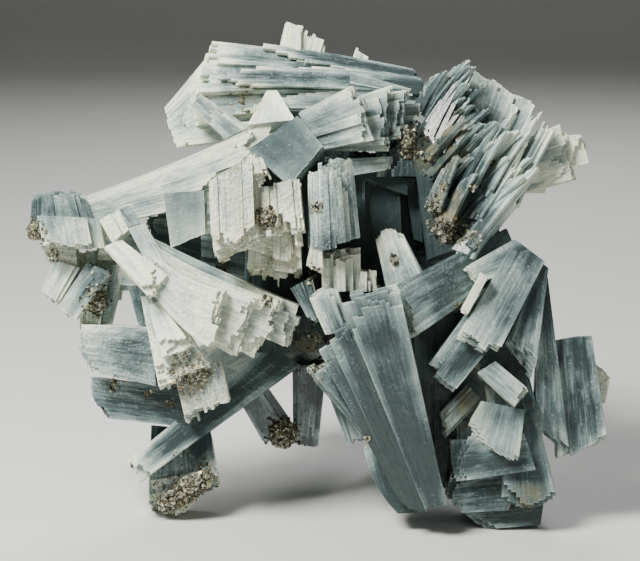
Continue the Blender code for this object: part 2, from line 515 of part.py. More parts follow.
def outer_skin(data):
    """Removes every loose piece of a mesh but the largest. Pockets sealed inside the crystals go, which fills
    them, and so does a chip that a cut has set free."""
    mesh = bmesh.new()
    mesh.from_mesh(data)
    left = set(mesh.verts)
    pieces = []
    while left:
        piece, edge = set(), {left.pop()}
        while edge:
            piece |= edge
            edge = {e.other_vert(v) for v in edge for e in v.link_edges} - piece
        left -= piece
        pieces.append(piece)
    largest = max(pieces, key=len)
    bmesh.ops.delete(mesh, geom=[v for v in mesh.verts if v not in largest], context="VERTS")
    mesh.to_mesh(data)
    mesh.free()


def main():
    clear_scene()
    scene = bpy.context.scene.collection
    cutters = helper_collection("cutters")
    leaves = leaf_objects()
    first = leaves.objects[0]
    cluster = bpy.data.objects.new("crystal_cluster", first.data.copy())
    scene.objects.link(cluster)
    leaves.objects.unlink(first)
    boolean(cluster, "UNION", leaves)
    boolean(cluster, "DIFFERENCE", block_below_table(cutters), "MANIFOLD")
    grown = evaluated_mesh(cluster)
    tree = BVHTree.FromPolygons([v.co for v in grown.vertices], [p.vertices for p in grown.polygons])
    ore = material(*ORE)
    for number, crust in enumerate(CRUSTS):
        at = sight_depth(tree, crust)
        lump = grow_lump(crust, at, 0.0, number + 1, scene)
        lump.data.materials.append(ore)
        pocket = grow_lump(crust, at, SEAT_GAP, number + 1, cutters)
        pocket.name = f"{crust.name}_pocket"
        hide(pocket)
        boolean(cluster, "DIFFERENCE", pocket, "MANIFOLD")
    solid = evaluated_mesh(cluster)
    outer_skin(solid)
    cluster.modifiers.clear()
    cluster.data = solid
    cluster.data.materials.clear()
    cluster.data.materials.append(material(*ANHYDRITE))


main()
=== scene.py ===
# %% [markdown]
# # An anhydrite crystal cluster
#
# Anhydrite from a vein grows in blades. A blade is a stack of thin leaves, each leaf is a row of laths, and
# the mineral splits along three directions at right angles, so every broken end is a little staircase. A
# cluster is dozens of such stacks, fanned out from their roots and grown through each other.
#
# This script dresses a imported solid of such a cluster. The solid gives the place of every fan, and the fans
# are split here into their leaves, laths and chips. Lengths are in millimetres until on_table turns them
# into Blender's metres.

import math
from dataclasses import dataclass, replace
from functools import reduce

import bmesh
import bpy
import numpy as np
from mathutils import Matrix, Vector
from mathutils.bvhtree import BVHTree


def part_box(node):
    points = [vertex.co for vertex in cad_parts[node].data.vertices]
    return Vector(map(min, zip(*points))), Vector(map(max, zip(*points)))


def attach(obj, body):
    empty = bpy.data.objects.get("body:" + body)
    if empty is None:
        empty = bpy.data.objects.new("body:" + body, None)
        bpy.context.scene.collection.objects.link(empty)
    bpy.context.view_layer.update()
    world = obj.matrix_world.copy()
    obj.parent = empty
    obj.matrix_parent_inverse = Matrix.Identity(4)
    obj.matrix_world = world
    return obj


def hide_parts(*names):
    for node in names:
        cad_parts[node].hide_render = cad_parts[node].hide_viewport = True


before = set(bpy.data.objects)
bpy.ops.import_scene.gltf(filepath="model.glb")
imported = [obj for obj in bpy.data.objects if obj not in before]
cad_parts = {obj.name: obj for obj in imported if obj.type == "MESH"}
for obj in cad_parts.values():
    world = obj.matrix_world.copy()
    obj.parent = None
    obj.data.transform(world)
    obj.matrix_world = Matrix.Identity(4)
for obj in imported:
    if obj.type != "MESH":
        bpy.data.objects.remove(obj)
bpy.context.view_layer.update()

# %% [markdown]
# ## The growth frame
#
# The fans are placed by across, up and deep, as an eye in front of the cluster sees them. The eye looks down
# by LEAN. What lies deeper spreads outward from the line of sight, so that it covers the same spot in the
# eye's picture. Plain x, y and z would do as well, but a fan that is moved deeper would then slide across
# the view too. The growth frame is leant back at the end and set on the table.

# %% The growth frame and the table
MM = 0.001
LEAN = math.radians(12.0)
EYE_DISTANCE = 444.0
TABLE_UP = -62.5  # where the table is, before the lean
CENTRE = (0.3, 20.8)  # the middle of the solid's box in x and y, before the shift


def place(across, up, deep):
    """The true place of a point seen at across and up: both are multiplied by 1 + deep / EYE_DISTANCE."""
    spread = 1.0 + deep / EYE_DISTANCE
    return np.array([across * spread, deep, up * spread])


def lean_matrix():
    """The three axes of the growth frame on the table, as the columns of a 3 by 3 array."""
    cos, sin = math.cos(LEAN), math.sin(LEAN)
    return np.array([[1, 0, 0], [0, cos, sin], [0, -sin, cos]])


def on_table(points):
    """Growth frame, in millimetres, to the row's frame, in metres: leant back, then shifted."""
    shift = np.array([-CENTRE[0], -CENTRE[1], -TABLE_UP * math.cos(LEAN)])
    return (points @ lean_matrix().T + shift) * MM


print("the table is", round(-TABLE_UP * math.cos(LEAN), 1), "mm below the line of sight")

# %% [markdown]
# ## The fans
#
# Each fan is given by the corners of its front face, its thickness at root and tip, the number of its coarse
# leaves and laths, and how ragged it ends. The solid is built from the same table. A fan's row number is the
# seed of its random draws in both, so each visible step stands on a step of the solid. Fans could also be
# scattered at random round a centre, but a real cluster has an order of its own, and a fan that is given by
# its corners lies where it belongs.


# %% The table of fans
@dataclass
class Fan:
    """One fan, by the corners of its front face. Left and right are those of a traveller going from the root
    to the tip with the front face showing. Each corner is (across, up, deep)."""

    name: str
    root_left: tuple
    root_right: tuple
    tip_left: tuple
    tip_right: tuple
    thick: tuple = (5.0, 5.0)  # at the root, at the tip
    leaves: int = 1
    laths: int = 3
    ragged: float = 1.0  # how far the lath ends step back
    root_ragged: float = 0.0
    bow: float = 0.0  # how far the middle of the fan curves to the right
    arch: float = 0.0  # how far the front face swells


FANS = [
    # the crown and its knobs
    Fan("crown_upper", (26, 50, 16), (24, 53, 18), (-29, 55, 6), (-27.75, 61.5, 8),
        (7, 9), 2, 4, 3.0, 2.0, bow=1.0),
    Fan("crown_middle", (26, 46, 11), (26, 51.5, 15), (-30.5, 47.5, 2), (-29, 57.5, 4),
        (7, 10), 2, 4, 3.0, 2.0, bow=1.5),
    Fan("crown_lower", (12, 42, 10), (14, 48, 12), (-32, 40.5, 2), (-30.5, 50, 3),
        (6, 10), 2, 4, 3.0, 2.0, bow=1.0),
    Fan("crown_tongue", (7.5, 52.5, 10), (7.5, 45, 10), (27, 47, 11), (27.5, 43.5, 11),
        (5, 5), 1, 2, 1.0),
    Fan("crown_tail", (-24, 35.25, 2), (-17.5, 38.5, 2), (-33.25, 44.5, 2), (-30, 47, 2),
        (3, 3), 1, 3, 1.0),
    Fan("crown_block", (-23.75, 34.75, 10), (-28.75, 56, 10), (-37, 33.25, 12), (-39.75, 42.75, 12),
        (8, 10), 1, 4, 1.5),
    Fan("knob_block", (-11, 55, 14), (-4, 54.5, 14), (-8.5, 65.5, 14), (-4.25, 64.5, 14),
        (6, 6), 1, 2, 0.6),
    Fan("knob_fan", (-6.5, 54.5, 15), (0, 53.5, 15), (-4.25, 63.75, 15), (2.25, 60.5, 15),
        (5, 5), 1, 5, 1.0),
    Fan("top_chip", (6.5, 51, 17), (10.5, 50, 17), (9.25, 59.25, 19), (12.5, 57, 19), (3, 3), 1, 1),
    Fan("wedge_tip", (-18.25, 39, 0), (-5.75, 40.25, -1), (-12.75, 48.5, 5), (-11.25, 48.5, 5),
        (10, 4), 1, 1),
    Fan("wedge_face", (-5.5, 41.25, -3), (-18, 32.75, -3), (1, 33.5, -4), (-7, 23, -5),
        (10, 8), 1, 2, 0.3),
    # the left arm and the blocks at its end
    Fan("left_arm", (-62, 20.5, 2), (-58, 13, 2), (-8, 43.5, -1.5), (-18, 22, -1),
        (6, 9), 2, 4, 2.0, bow=1.0),
    Fan("left_block_upper", (-73, 10.5, -1), (-55, 10, -1), (-72.25, 23.25, -1), (-59.5, 22.75, 0),
        (10, 9), 1, 4, 1.0, arch=1.5),
    Fan("left_block_lower", (-55.25, 15.5, -4), (-71, 16.25, -4), (-53.75, 7.5, -4), (-69.25, 8, -3),
        (9, 8), 1, 4, 1.0, arch=2.0),
    Fan("left_chin", (-60.5, 3, 1), (-61.25, 9.25, 1), (-69, 4, 1), (-71.75, 9.5, 1), (8, 7), 1, 3, 1.0),
    Fan("left_low_fan", (-59.5, 3, 0), (-67.5, 5.5, 0), (-66, -7.25, 0), (-70.25, -3, 0),
        (8, 7), 2, 3, 1.5),
    Fan("left_low_blade", (-52, 2, -2), (-58.5, 4.5, -2), (-61.25, -10.75, -2), (-66, -7, -2),
        (6, 6), 1, 3, 1.5),
    Fan("left_dome", (-60.5, -12, 2), (-52.5, -11.5, 2), (-60, 4, 2), (-48.5, 4.5, 2),
        (8, 8), 1, 4, 1.0),
    Fan("left_dome_back", (-60, -5, 6), (-50, -5, 6), (-62, 9, 6), (-48, 9, 6), (5, 5), 1, 2, 0.5),
    Fan("window_lintel", (-52.5, 4.5, 4), (-52, -2.5, 4), (-42.5, 1.25, 4), (-42.5, -3, 4),
        (4, 4), 1, 2, 0.5),
    Fan("window_post", (-42, -1.25, 3), (-48.25, -1.25, 3), (-41.25, -12, 3), (-45.25, -12, 3),
        (4, 4), 1, 2, 0.5),
    Fan("left_slab", (-41, -27.25, -3), (-42, -10.75, -3), (-59, -23, -3), (-62.25, -10.25, -3),
        (7, 7), 2, 4, 1.5),
    Fan("lower_slab", (-33.5, -37, 3), (-34.5, -26.75, 3), (-55.5, -34.75, 3), (-59.25, -23.25, 3),
        (8, 7), 2, 3, 1.5),
    # the white fans at the left, the rod and the foot
    Fan("white_arm", (-49.5, 10.5, -7), (-54.25, 8.25, -7), (-38, 1.75, -12), (-42.75, -4.25, -12),
        (4, 5), 1, 3, 1.0),
    Fan("white_heel", (-52, 9.25, -6), (-48, 13, -6), (-55.5, 15.25, -5), (-50.5, 18, -5),
        (6, 6), 1, 2, 0.7),
    Fan("grey_facet", (-47.75, 19, -3), (-52, 16.5, -3), (-44.25, 13.5, -4), (-48.5, 12, -4),
        (5, 5), 1, 1),
    Fan("inner_blade", (-44, 14.5, -6), (-48.25, 13, -6), (-38, 4.5, -8), (-42.5, 2.5, -8),
        (5, 5), 1, 3, 1.0),
    Fan("curved_leaf_front", (-40.5, 5.5, -9), (-42.5, -2, -9), (-22.25, -2.5, -13), (-27.25, -17.25, -13),
        (3, 3), 1, 5, 1.5, bow=1.5),
    Fan("curved_leaf_second", (-42, 8.5, -6), (-40, -2.5, -6), (-15, -4.25, -10), (-21.75, -19.25, -10),
        (3, 3.5), 1, 5, 3.0, bow=1.5),
    Fan("curved_leaf_third", (-42.5, 9.5, -4), (-39.5, -2, -4), (-9.75, -4.75, -7), (-15.75, -20.25, -7),
        (3, 3.5), 1, 5, 3.0, bow=1.5),
    Fan("curved_leaf_back", (-43, 11, -1), (-38.75, -1.25, -1), (-4.75, -6.5, -4), (-8, -17, -4),
        (4, 9), 1, 4, 1.5, bow=0.5),
    Fan("second_fan", (-37.5, -4, -4), (-45.25, -4, -4), (-26.5, -21.5, -8), (-41, -27.25, -8),
        (4, 6), 2, 4, 3.0),
    Fan("second_fan_top", (-40, -5, -7), (-43, -6.25, -7), (-31.75, -16, -11), (-39.25, -20.5, -11),
        (2, 3.5), 1, 3, 1.0),
    Fan("crusty_block", (-23.75, -19.25, -4), (-37, -25.5, -4), (-21.5, -32.25, -4), (-34.25, -36.75, -4),
        (7, 7.5), 2, 4, 2.0),
    Fan("rod", (-4.25, -21.5, 6), (-13.5, -15.75, 6), (-46, -51.75, 1), (-48.75, -45, 1),
        (8, 7), 2, 3, 1.5),
    Fan("foot", (-26.75, -37.5, 10), (-43, -36, 10), (-24.5, -50, 7), (-44, -58, 7),
        (10, 12), 2, 4, 2.0),
    Fan("foot_point", (-28.75, -47.5, 6), (-42.5, -50, 6), (-32.5, -59, 6), (-39.25, -60.5, 6),
        (10, 9), 1, 3, 0.4),
    Fan("back_stub_a", (-13, -27, 9), (-19.5, -31.5, 9), (-5.75, -37.5, 14), (-13.5, -42, 14),
        (7, 8), 1, 3, 1.5),
    Fan("back_stub_b", (1.75, -21.25, 14), (-7, -21.25, 14), (-0.5, -42.5, 18), (-6.75, -41.5, 18),
        (8, 7), 1, 2, 0.5),
    # the blocks in the middle
    Fan("recess_blade", (-30, 4.5, 8), (-30, 21.25, 8), (-43.75, 8.75, 8), (-48, 19, 8),
        (5, 5), 1, 2, 1.0),
    Fan("centre_cube", (-28.75, 22.5, 0), (-39.25, 21.75, 0), (-28.5, 11, 2), (-37.25, 7.5, 3),
        (12, 10), 1, 2, 1.0),
    Fan("white_block", (-16, 32.5, -12), (-28.5, 24.25, -12), (-15.25, 10.5, -16), (-27.75, 5.25, -16),
        (11, 13), 2, 4, 1.0),
    Fan("white_lump", (-14.5, 31.25, -12), (-18.5, 30, -12), (-12, 25.5, -14), (-17.5, 24, -14),
        (6, 6), 1, 2, 0.5),
    Fan("white_steps_upper", (-4.25, 26, -9), (-17.5, 24.5, -9), (-2.75, 11.5, -13), (-17, 9.25, -13),
        (9, 9), 3, 4, 3.0, 2.0),
    Fan("white_steps_lower", (-4, 13, -6), (-18.5, 12, -6), (-3.75, 0.75, -10), (-19.5, 1.5, -9),
        (11, 12), 2, 4, 1.5),
    Fan("column", (-3, 6.5, -11), (10.25, 9.5, -11), (-3, 29, -12), (8, 32, -12),
        (12, 10), 1, 4, 2.0, 1.5, arch=3.0),
    Fan("column_side", (0.5, 11, -12), (-2, 11, -12), (1.25, -0.5, -11), (-4, 2, -11),
        (8, 14), 1, 2, 1.0),
    Fan("column_lower", (0.5, -3, -9), (10.25, -2.5, -9), (0, 8.25, -9), (10.25, 9.25, -9),
        (12, 12), 1, 3, 1.5),
    Fan("companion_plate", (1.25, -13.75, -9), (8, -12, -9), (-3.25, -3.75, -10), (4, -0.5, -10),
        (5, 6), 1, 3, 1.0),
    # the keel
    Fan("central_fan", (26, -57.25, -8), (32, -56, -8), (4, -4.5, -15), (20.5, -0.75, -15),
        (5, 6), 2, 5, 2.5),
    Fan("central_leaf_second", (22, -57, -6), (27, -57.75, -6), (1.5, -14.25, -12), (8, -10, -12),
        (3, 4), 1, 3, 2.0),
    Fan("central_leaf_third", (19.5, -55, -4), (24.5, -57.75, -4), (-1, -17.5, -9), (4.5, -14.5, -9),
        (3, 4), 1, 3, 2.0),
    Fan("central_leaf_fourth", (21.5, -50.5, -2), (23, -56.25, -2), (-1.75, -22.5, -7), (2.5, -20, -7),
        (3, 6), 1, 3, 2.0),
    Fan("central_leaf_low", (19, -58.25, -2), (25.5, -58, -2), (10.5, -41.75, -2), (19.5, -35, -2),
        (6, 7), 2, 3, 1.0, bow=-1.5),
    Fan("mid_stub", (14, -30, 1), (0, -24, 1), (13, -41.5, 4), (6.5, -41, 4), (7, 6), 1, 3, 1.5),
    Fan("recess_wall", (37.5, -7, 2), (21.25, -12, 2), (32.5, -55, 4), (25, -55, 4),
        (12, 12), 1, 1, 1.0),
    # the fans at the right
    Fan("right_arm", (50.5, 4, -3), (46.5, 13.5, -3), (23.75, -15.25, -9), (17.5, -1.25, -9),
        (6, 8), 2, 3, 1.0),
    Fan("right_leaf_short", (56.5, 4.5, -6), (48.5, 10.5, -6), (39, -0.75, -9), (35.5, 3, -9),
        (3, 4), 1, 2, 0.7),
    Fan("right_leaf_long", (56.75, 4.5, -6), (48, 10, -6), (44.75, -19.5, -13), (34, -13.75, -13),
        (4, 5), 2, 4, 3.0),
    Fan("right_leaf_low", (47, -12.5, -8), (40.5, -2, -8), (34, -28.25, -8), (26, -22.25, -8),
        (6, 8), 2, 3, 2.0),
    Fan("right_sliver", (42, 0.75, -13), (40.25, 1.75, -13), (36.75, -9, -12), (35, -8, -12),
        (5, 5), 1, 1),
    Fan("right_leaf_side", (57.25, 3, -5), (54, 5.5, -5), (54, -25, -9), (46.5, -16.25, -9),
        (5, 6), 2, 4, 3.0),
    Fan("right_prism", (44, -20, -10), (39.25, -23, -10), (52.25, -27, -12), (49, -32, -12),
        (8, 9), 1, 2, 0.7),
    Fan("right_rib", (57, 1, -4), (55, 0.5, -4), (63, -44.75, -3), (53.25, -36.25, -3),
        (5, 7), 2, 3, 2.0),
    Fan("far_right_slab", (68.25, -13.5, -1), (58, -15, -1), (72.5, -40.25, -1), (59, -46, -1),
        (7, 8), 2, 4, 1.0, 0.5),
    Fan("right_nub", (67.5, -31.25, 3), (71.5, -30.5, 3), (68, -18.75, 3), (73, -24, 3),
        (6, 6), 1, 2, 0.7),
    # the mass at the lower right
    Fan("mass_leaf", (52, -32.5, -8), (40, -30, -8), (50.25, -48.75, -9), (35.5, -37.5, -9),
        (5, 6), 2, 4, 1.5),
    Fan("mass_right", (55.75, -37.5, -4), (45.75, -30, -4), (60.5, -57, -5), (45, -58.5, -5),
        (12, 12), 2, 4, 1.5),
    Fan("mass_left", (54, -47.5, -7), (51, -38, -7), (31, -51, -5), (36, -38.5, -5),
        (9, 10), 1, 3, 1.0),
    Fan("mass_base", (55, -61.25, 0), (56.25, -53, 0), (40, -62.5, 0), (33, -56.25, 0),
        (16, 14), 1, 3, 1.0),
    Fan("recess_leaf", (40.75, -30, -2), (37, -26.25, -2), (31.5, -39.5, -2), (29.5, -34, -2),
        (6, 6), 1, 3, 1.5),
    Fan("recess_stub", (36.75, -40, -3), (32.5, -40, -3), (37, -46.5, -3), (33.25, -47, -3),
        (6, 6), 1, 2, 0.5),
    # the book of pages
    Fan("book_base", (27, 5.5, 0), (45, 11.25, 0), (23, 33.75, 2), (45, 28.75, 2), (18, 14), 1, 1, 2.0),
    Fan("book_back_page", (31.5, 22.5, 4), (41.5, 18.75, 4), (38.5, 54, 9), (54.5, 44.75, 9),
        (5, 4), 1, 4, 1.5, arch=-1.5),
    Fan("book_page_far", (26, 45, 8), (28, 43, 8), (27, 51.25, 8), (30.25, 53.25, 8), (3, 2), 1, 1),
    Fan("book_page_1", (24.5, 39.5, 6), (28.5, 32, 1), (36.25, 53.5, 5.5), (40.5, 56.5, 0.5),
        (2, 1.5), 1, 3, 1.5),
    Fan("book_page_2", (27.25, 37.75, 4.5), (30.25, 31, -0.5), (39.25, 47.75, 4), (42.5, 50.75, -1),
        (2, 1.5), 1, 2, 1.0),
    Fan("book_page_3", (32, 38.5, 3.5), (33.5, 32, -1), (39.5, 41.5, 3), (42, 42.25, -1.5),
        (2, 1.5), 1, 2, 0.7),
    Fan("book_page_4", (24.25, 17.25, 0), (31, 16.25, -6), (31.5, 31, -0.5), (37, 34.5, -6.5),
        (2, 1.5), 1, 3, 1.0),
    Fan("book_page_5", (31.5, 23, 2), (35.5, 22.75, -4), (40.5, 36.75, 1.5), (45.5, 40.5, -4.5),
        (2, 1.5), 1, 2, 1.0),
    Fan("book_page_6", (35, 24, 1), (38.25, 22, -5), (42.25, 35.5, 0.5), (47.5, 38.75, -5.5),
        (2, 1.5), 1, 2, 1.0),
    Fan("book_page_7", (41, 34.75, 4), (44.25, 34, 0), (47, 41.5, 3.5), (49.75, 43.5, -0.5),
        (2, 1.5), 1, 2, 0.7),
    Fan("book_page_8", (38.25, 22.75, 1), (42.25, 20.75, -5), (48.75, 36, 0.5), (53, 37.75, -5.5),
        (2, 1.5), 1, 2, 1.0),
    Fan("book_page_9", (41.5, 21.25, 2.5), (45, 20, -3), (52.25, 42.5, 2), (56.25, 45, -3.5),
        (2, 1.5), 1, 2, 1.0),
    Fan("book_page_10", (33.5, 10, -3), (38.25, 8.25, -8.5), (52, 28, -3.5), (57.5, 31.5, -9),
        (2.5, 2), 1, 2, 1.0),
    Fan("book_page_11", (32, 7.5, -3), (37.25, 5.25, -7), (45, 18.75, -3.5), (49.25, 20.5, -7.5),
        (4, 3), 1, 2, 1.0),
    Fan("book_fan", (48, 35, 3), (46, 20, 3), (61, 40.5, 2), (64.75, 24.75, 2), (8, 8), 2, 4, 2.0),
    Fan("book_fan_edge", (52.5, 36, 5), (54, 25, 5), (66, 37, 4), (68.5, 29.25, 4), (6, 5), 2, 4, 1.5),
    Fan("book_fan_hem", (48.75, 27.5, 5), (48, 22, 5), (58, 25, 6), (57, 21.75, 6), (5, 4), 1, 2, 0.7),
    # the recess and the tray beside the crown
    Fan("shade_blades", (28, 25, 10), (14.5, 24, 10), (28, 5.5, 10), (20, 7, 10), (10, 8), 2, 2, 2.0),
    Fan("shade_bar", (8, 30, 6), (9, 25.5, 6), (24.5, 24.5, 6), (22.5, 21, 6), (5, 5), 1, 1),
    Fan("tray_leaf_front", (-5.75, 42, 0), (-0.5, 32, 0), (8, 49, -7), (13, 34.5, -7),
        (3, 4), 1, 4, 3.0),
    Fan("tray_leaf_second", (-5, 42, 3), (1, 31.75, 3), (17.75, 49.5, -3), (16.75, 31.25, -3),
        (4, 5), 2, 5, 2.5),
    Fan("tray_leaf_third", (2.5, 45, 5), (5, 33.75, 5), (21.5, 48, 1), (21.25, 35.5, 1),
        (4, 6), 1, 4, 2.0),
    Fan("tray_leaf_back", (7.5, 43.75, 7), (10, 32.5, 7), (26, 44.5, 6), (25, 37.5, 6),
        (5, 6), 1, 3, 1.5),
    Fan("tray_bar", (2.5, 30.5, 2), (3.5, 25.5, 2), (18.75, 31.25, 2), (18.75, 28, 2),
        (6, 6), 1, 2, 0.5),
    Fan("small_peak", (16.5, -2.5, -6), (26, 2, -6), (13.25, 12.75, -3), (19.5, 14.5, -3),
        (6, 5), 1, 4, 2.0),
    # the heart, and the fans behind it
    Fan("heart", (-20, -18, 4), (22, -18, 4), (-18, 34, 6), (20, 34, 6), (24, 24), 1, 1, 0.5),
    Fan("back_upper_left", (-12, 20, 24), (0, 34, 24), (-32, 38, 36), (-18, 52, 38), (12, 9), 2, 2, 3.0),
    Fan("back_top", (-8, 25, 24), (10, 25, 24), (-10, 54, 38), (12, 53, 40), (12, 9), 2, 2, 3.0),
    Fan("back_upper_right", (8, 28, 18), (20, 12, 18), (30, 44, 32), (46, 32, 30), (12, 8), 2, 2, 3.0),
    Fan("back_right", (14, 16, 20), (14, -8, 20), (49, 8, 26), (52, -12, 26), (12, 9), 2, 2, 3.0),
    Fan("back_lower_right", (22, -4, 12), (10, -20, 12), (52, -28, 18), (36, -46, 20),
        (12, 10), 2, 3, 3.0),
    Fan("back_foot", (30, -8, 22), (8, -10, 22), (32, -50, 46), (14, -50, 46), (12, 9), 2, 3, 0.8),
    Fan("back_lower_left", (2, -20, 16), (-10, -4, 16), (-20, -30, 26), (-34, -18, 24),
        (10, 8), 2, 3, 2.5),
    Fan("back_left", (-8, -2, 18), (-8, 22, 18), (-38, 4, 22), (-42, 24, 22), (12, 9), 2, 2, 2.5),
    Fan("back_centre", (-12, 6, 22), (12, 6, 22), (-18, 16, 58), (12, 14, 60), (12, 8), 2, 2, 3.0),
    Fan("back_centre_low", (-10, -10, 20), (14, -10, 20), (-12, -20, 54), (12, -22, 56),
        (12, 8), 2, 3, 3.0),
    Fan("back_right_spray", (14, 10, 24), (20, -4, 24), (32, 22, 52), (42, 4, 50), (10, 7), 2, 2, 2.5),
    Fan("back_left_spray", (-18, -10, 20), (-10, 8, 20), (-32, -8, 46), (-26, 10, 50),
        (10, 7), 2, 3, 2.5),
    # blades in the spaces between the others
    Fan("right_panel", (50, -12, -4), (38, -12, -4), (57, -38, -4), (43, -42, -4), (7, 7), 2, 3, 1.5),
    Fan("recess_floor", (46, -35, 0), (33, -35, 0), (46, -50, 0), (33, -50, 0), (8, 8), 1, 1, 0.0),
    Fan("left_neck", (-43, 5, 2), (-43, 14, 2), (-56, 5, 2), (-56, 14, 2), (6, 6), 1, 1, 0.0),
    Fan("crown_root", (14, 26, 4), (25, 26, 4), (14, 39, 4), (24, 38, 4), (9, 9), 1, 2, 1.0),
    Fan("ledge_back", (-31, -29, 4), (-32, -20, 4), (-43, -29, 4), (-43, -20, 4), (5, 5), 1, 1, 0.0),
    Fan("book_page_12", (44.25, 20, 1.5), (47.75, 18, -4), (55.75, 41.75, 1), (59.25, 40.75, -4.5),
        (2.5, 2), 1, 2, 1.0),
    Fan("book_page_13", (27.5, 14.75, -1), (32.25, 13, -6.5), (36.25, 27.25, -1.5), (40.5, 29, -7),
        (2, 1.5), 1, 2, 1.0),
    Fan("book_page_14", (36.25, 15.75, -1), (40.25, 14, -6.5), (47.75, 28.75, -1.5), (51.25, 30.75, -7),
        (2, 1.5), 1, 2, 1.0),
    Fan("column_step_upper", (9.5, -3, -8), (14.5, -2.5, -8), (10, 4.75, -8), (14.25, 3.75, -8),
        (11, 11), 1, 2, 0.7),
    Fan("column_step_lower", (13.5, -3, -7), (16.25, -3, -7), (14, 0.75, -7), (15.75, -0.5, -7),
        (9, 9), 1, 1),
    Fan("recess_plate", (-2, 1, -5), (-7.5, -2, -5), (1.25, -11.25, -5), (-2.75, -10.25, -5),
        (10, 10), 1, 2, 1.0),
    Fan("mass_low", (47, -57.5, -3), (51.5, -46.5, -3), (32.5, -58.25, -1), (30.5, -49, -1),
        (7, 7), 1, 3, 1.5),
]
print(len(FANS), "fans")

# %% [markdown]
# ## How milky each fan is
#
# Clean anhydrite is a clear grey blue. Where it is full of tiny cleavage cracks it scatters the light and
# turns white, so each fan gets a milkiness from 0, clear, to 1, white. Below 0 a fan is darker than clear
# crystal, as painted shade on fans deep in the recesses. Two pages of the book are a little clearer as
# painted shade on their lit faces, and the foot is milkier as painted light on its side in shadow. The blocks
# in the middle are also rough and creamy, and a few broad faces are smooth. Cracks gather at the sides and
# the ends of a fan, which look frosted. This could be painted on the meshes by hand, but a table is easier to
# read and to change. Each one lists the names of the fans that share a value.

# %% Milkiness, roughness, warmth and frost by fan
MILK = {
    # painted shade: fans deep in the recesses, darker than clear crystal
    -0.10: "recess_wall heart shade_blades shade_bar recess_floor",
    0.00: "recess_blade back_stub_a book_base",
    0.10: "back_stub_b grey_facet right_panel mass_low mass_base central_leaf_fourth left_block_upper",
    # book_page_1 is clearer than the other pages as painted shade on its lit face
    0.15: "mid_stub window_post central_leaf_low central_leaf_third recess_stub recess_leaf recess_plate "
    "book_page_1",
    0.18: "lower_slab wedge_face",
    0.20: "right_rib central_leaf_second right_leaf_side right_leaf_low mass_right mass_left rod right_arm",
    # the foot is milkier as painted light on the side that the rod shades; book_page_2 is clearer as painted
    # shade
    0.28: "foot right_leaf_long book_page_2",
    0.34: "left_low_blade right_leaf_short book_page_far",
    0.36: "crown_upper crown_middle",
    0.38: "far_right_slab column left_slab",
    0.42: "crown_tail crown_root right_prism inner_blade centre_cube central_fan mass_leaf",
    0.44: "tray_leaf_front",
    0.45: "left_block_lower left_low_fan crown_lower small_peak window_lintel tray_bar crusty_block "
    "column_step_lower book_page_8 book_page_9 book_page_10",
    0.52: "curved_leaf_back companion_plate book_back_page tray_leaf_second",
    0.62: "crown_block foot_point left_dome second_fan curved_leaf_third column_side column_lower "
    "column_step_upper tray_leaf_back tray_leaf_third",
    0.75: "curved_leaf_second second_fan_top right_sliver right_nub left_chin",
    0.90: "left_arm white_arm white_heel curved_leaf_front knob_block knob_fan book_fan_edge book_fan_hem "
    "wedge_tip",
    0.95: "white_block white_lump white_steps_upper white_steps_lower",
}
ROUGH = {
    1.0: "white_block white_steps_upper white_steps_lower left_chin",
    0.8: "white_lump crusty_block foot_point right_nub left_dome",
    0.4: "column left_slab white_arm white_heel second_fan curved_leaf_front curved_leaf_second "
    "curved_leaf_third",
    -0.3: "right_arm right_leaf_long right_leaf_short right_leaf_side right_leaf_low",
    -0.7: "central_fan central_leaf_second central_leaf_third central_leaf_low mass_leaf mass_left "
    "mass_right",
    -1.0: "wedge_face wedge_tip centre_cube",
}
WARM = {
    0.9: "white_block white_lump white_steps_upper column_side",
    0.7: "white_steps_lower crusty_block",
    0.4: "foot_point left_chin white_arm white_heel left_low_fan column_lower",
}
FROST = {
    1.7: "rod",
    1.3: "crown_upper crown_middle",
    0.8: "central_fan right_leaf_long",
    0.6: "mass_leaf right_leaf_short",
}
PLAIN_MILK = 0.55
KIND_MILK = {"book_page": 0.36, "book_feather": 0.30}
LEAST_FROST = 0.35


def entry(table, name, plain):
    """The value whose list of names holds the fan's name, or else the plain value."""
    return next((value for value, names in table.items() if name in names.split()), plain)


def milk_of(name):
    """The fan's milkiness, from the table or else by its kind."""
    plain = next((milk for kind, milk in KIND_MILK.items() if name.startswith(kind)), PLAIN_MILK)
    return entry(MILK, name, plain)


def frost_of(name):
    """How much the fan whitens towards its sides and its tip: a clear fan less than a milky one."""
    return entry(FROST, name, min(LEAST_FROST + milk_of(name), 1.0))


print("milky above 0.6:", sum(milk_of(fan.name) > 0.6 for fan in FANS), "fans")

# %% [markdown]
# ## The space inside a fan
#
# A point of a fan has three numbers: s runs from the root to the tip, t from left to right, and h from the
# front face to the back. The front face is the straight blend of its four corners, a bowed fan is pushed
# sideways along a parabola, and h goes straight back along the normal. A Lattice modifier can bend a stack
# of boxes in the same way, but every fan would need a lattice of its own, and a formula takes whole arrays
# at once.


# %% A fan's space
def unit(vector):
    return vector / np.linalg.norm(vector)


def slide(point, on, normal):
    """The point moved along the eye's line of sight onto the plane through on, so that a leaf is flat."""
    eye = np.array([0.0, -EYE_DISTANCE, 0.0])
    sight = point - eye
    return eye + sight * np.dot(on - eye, normal) / np.dot(sight, normal)


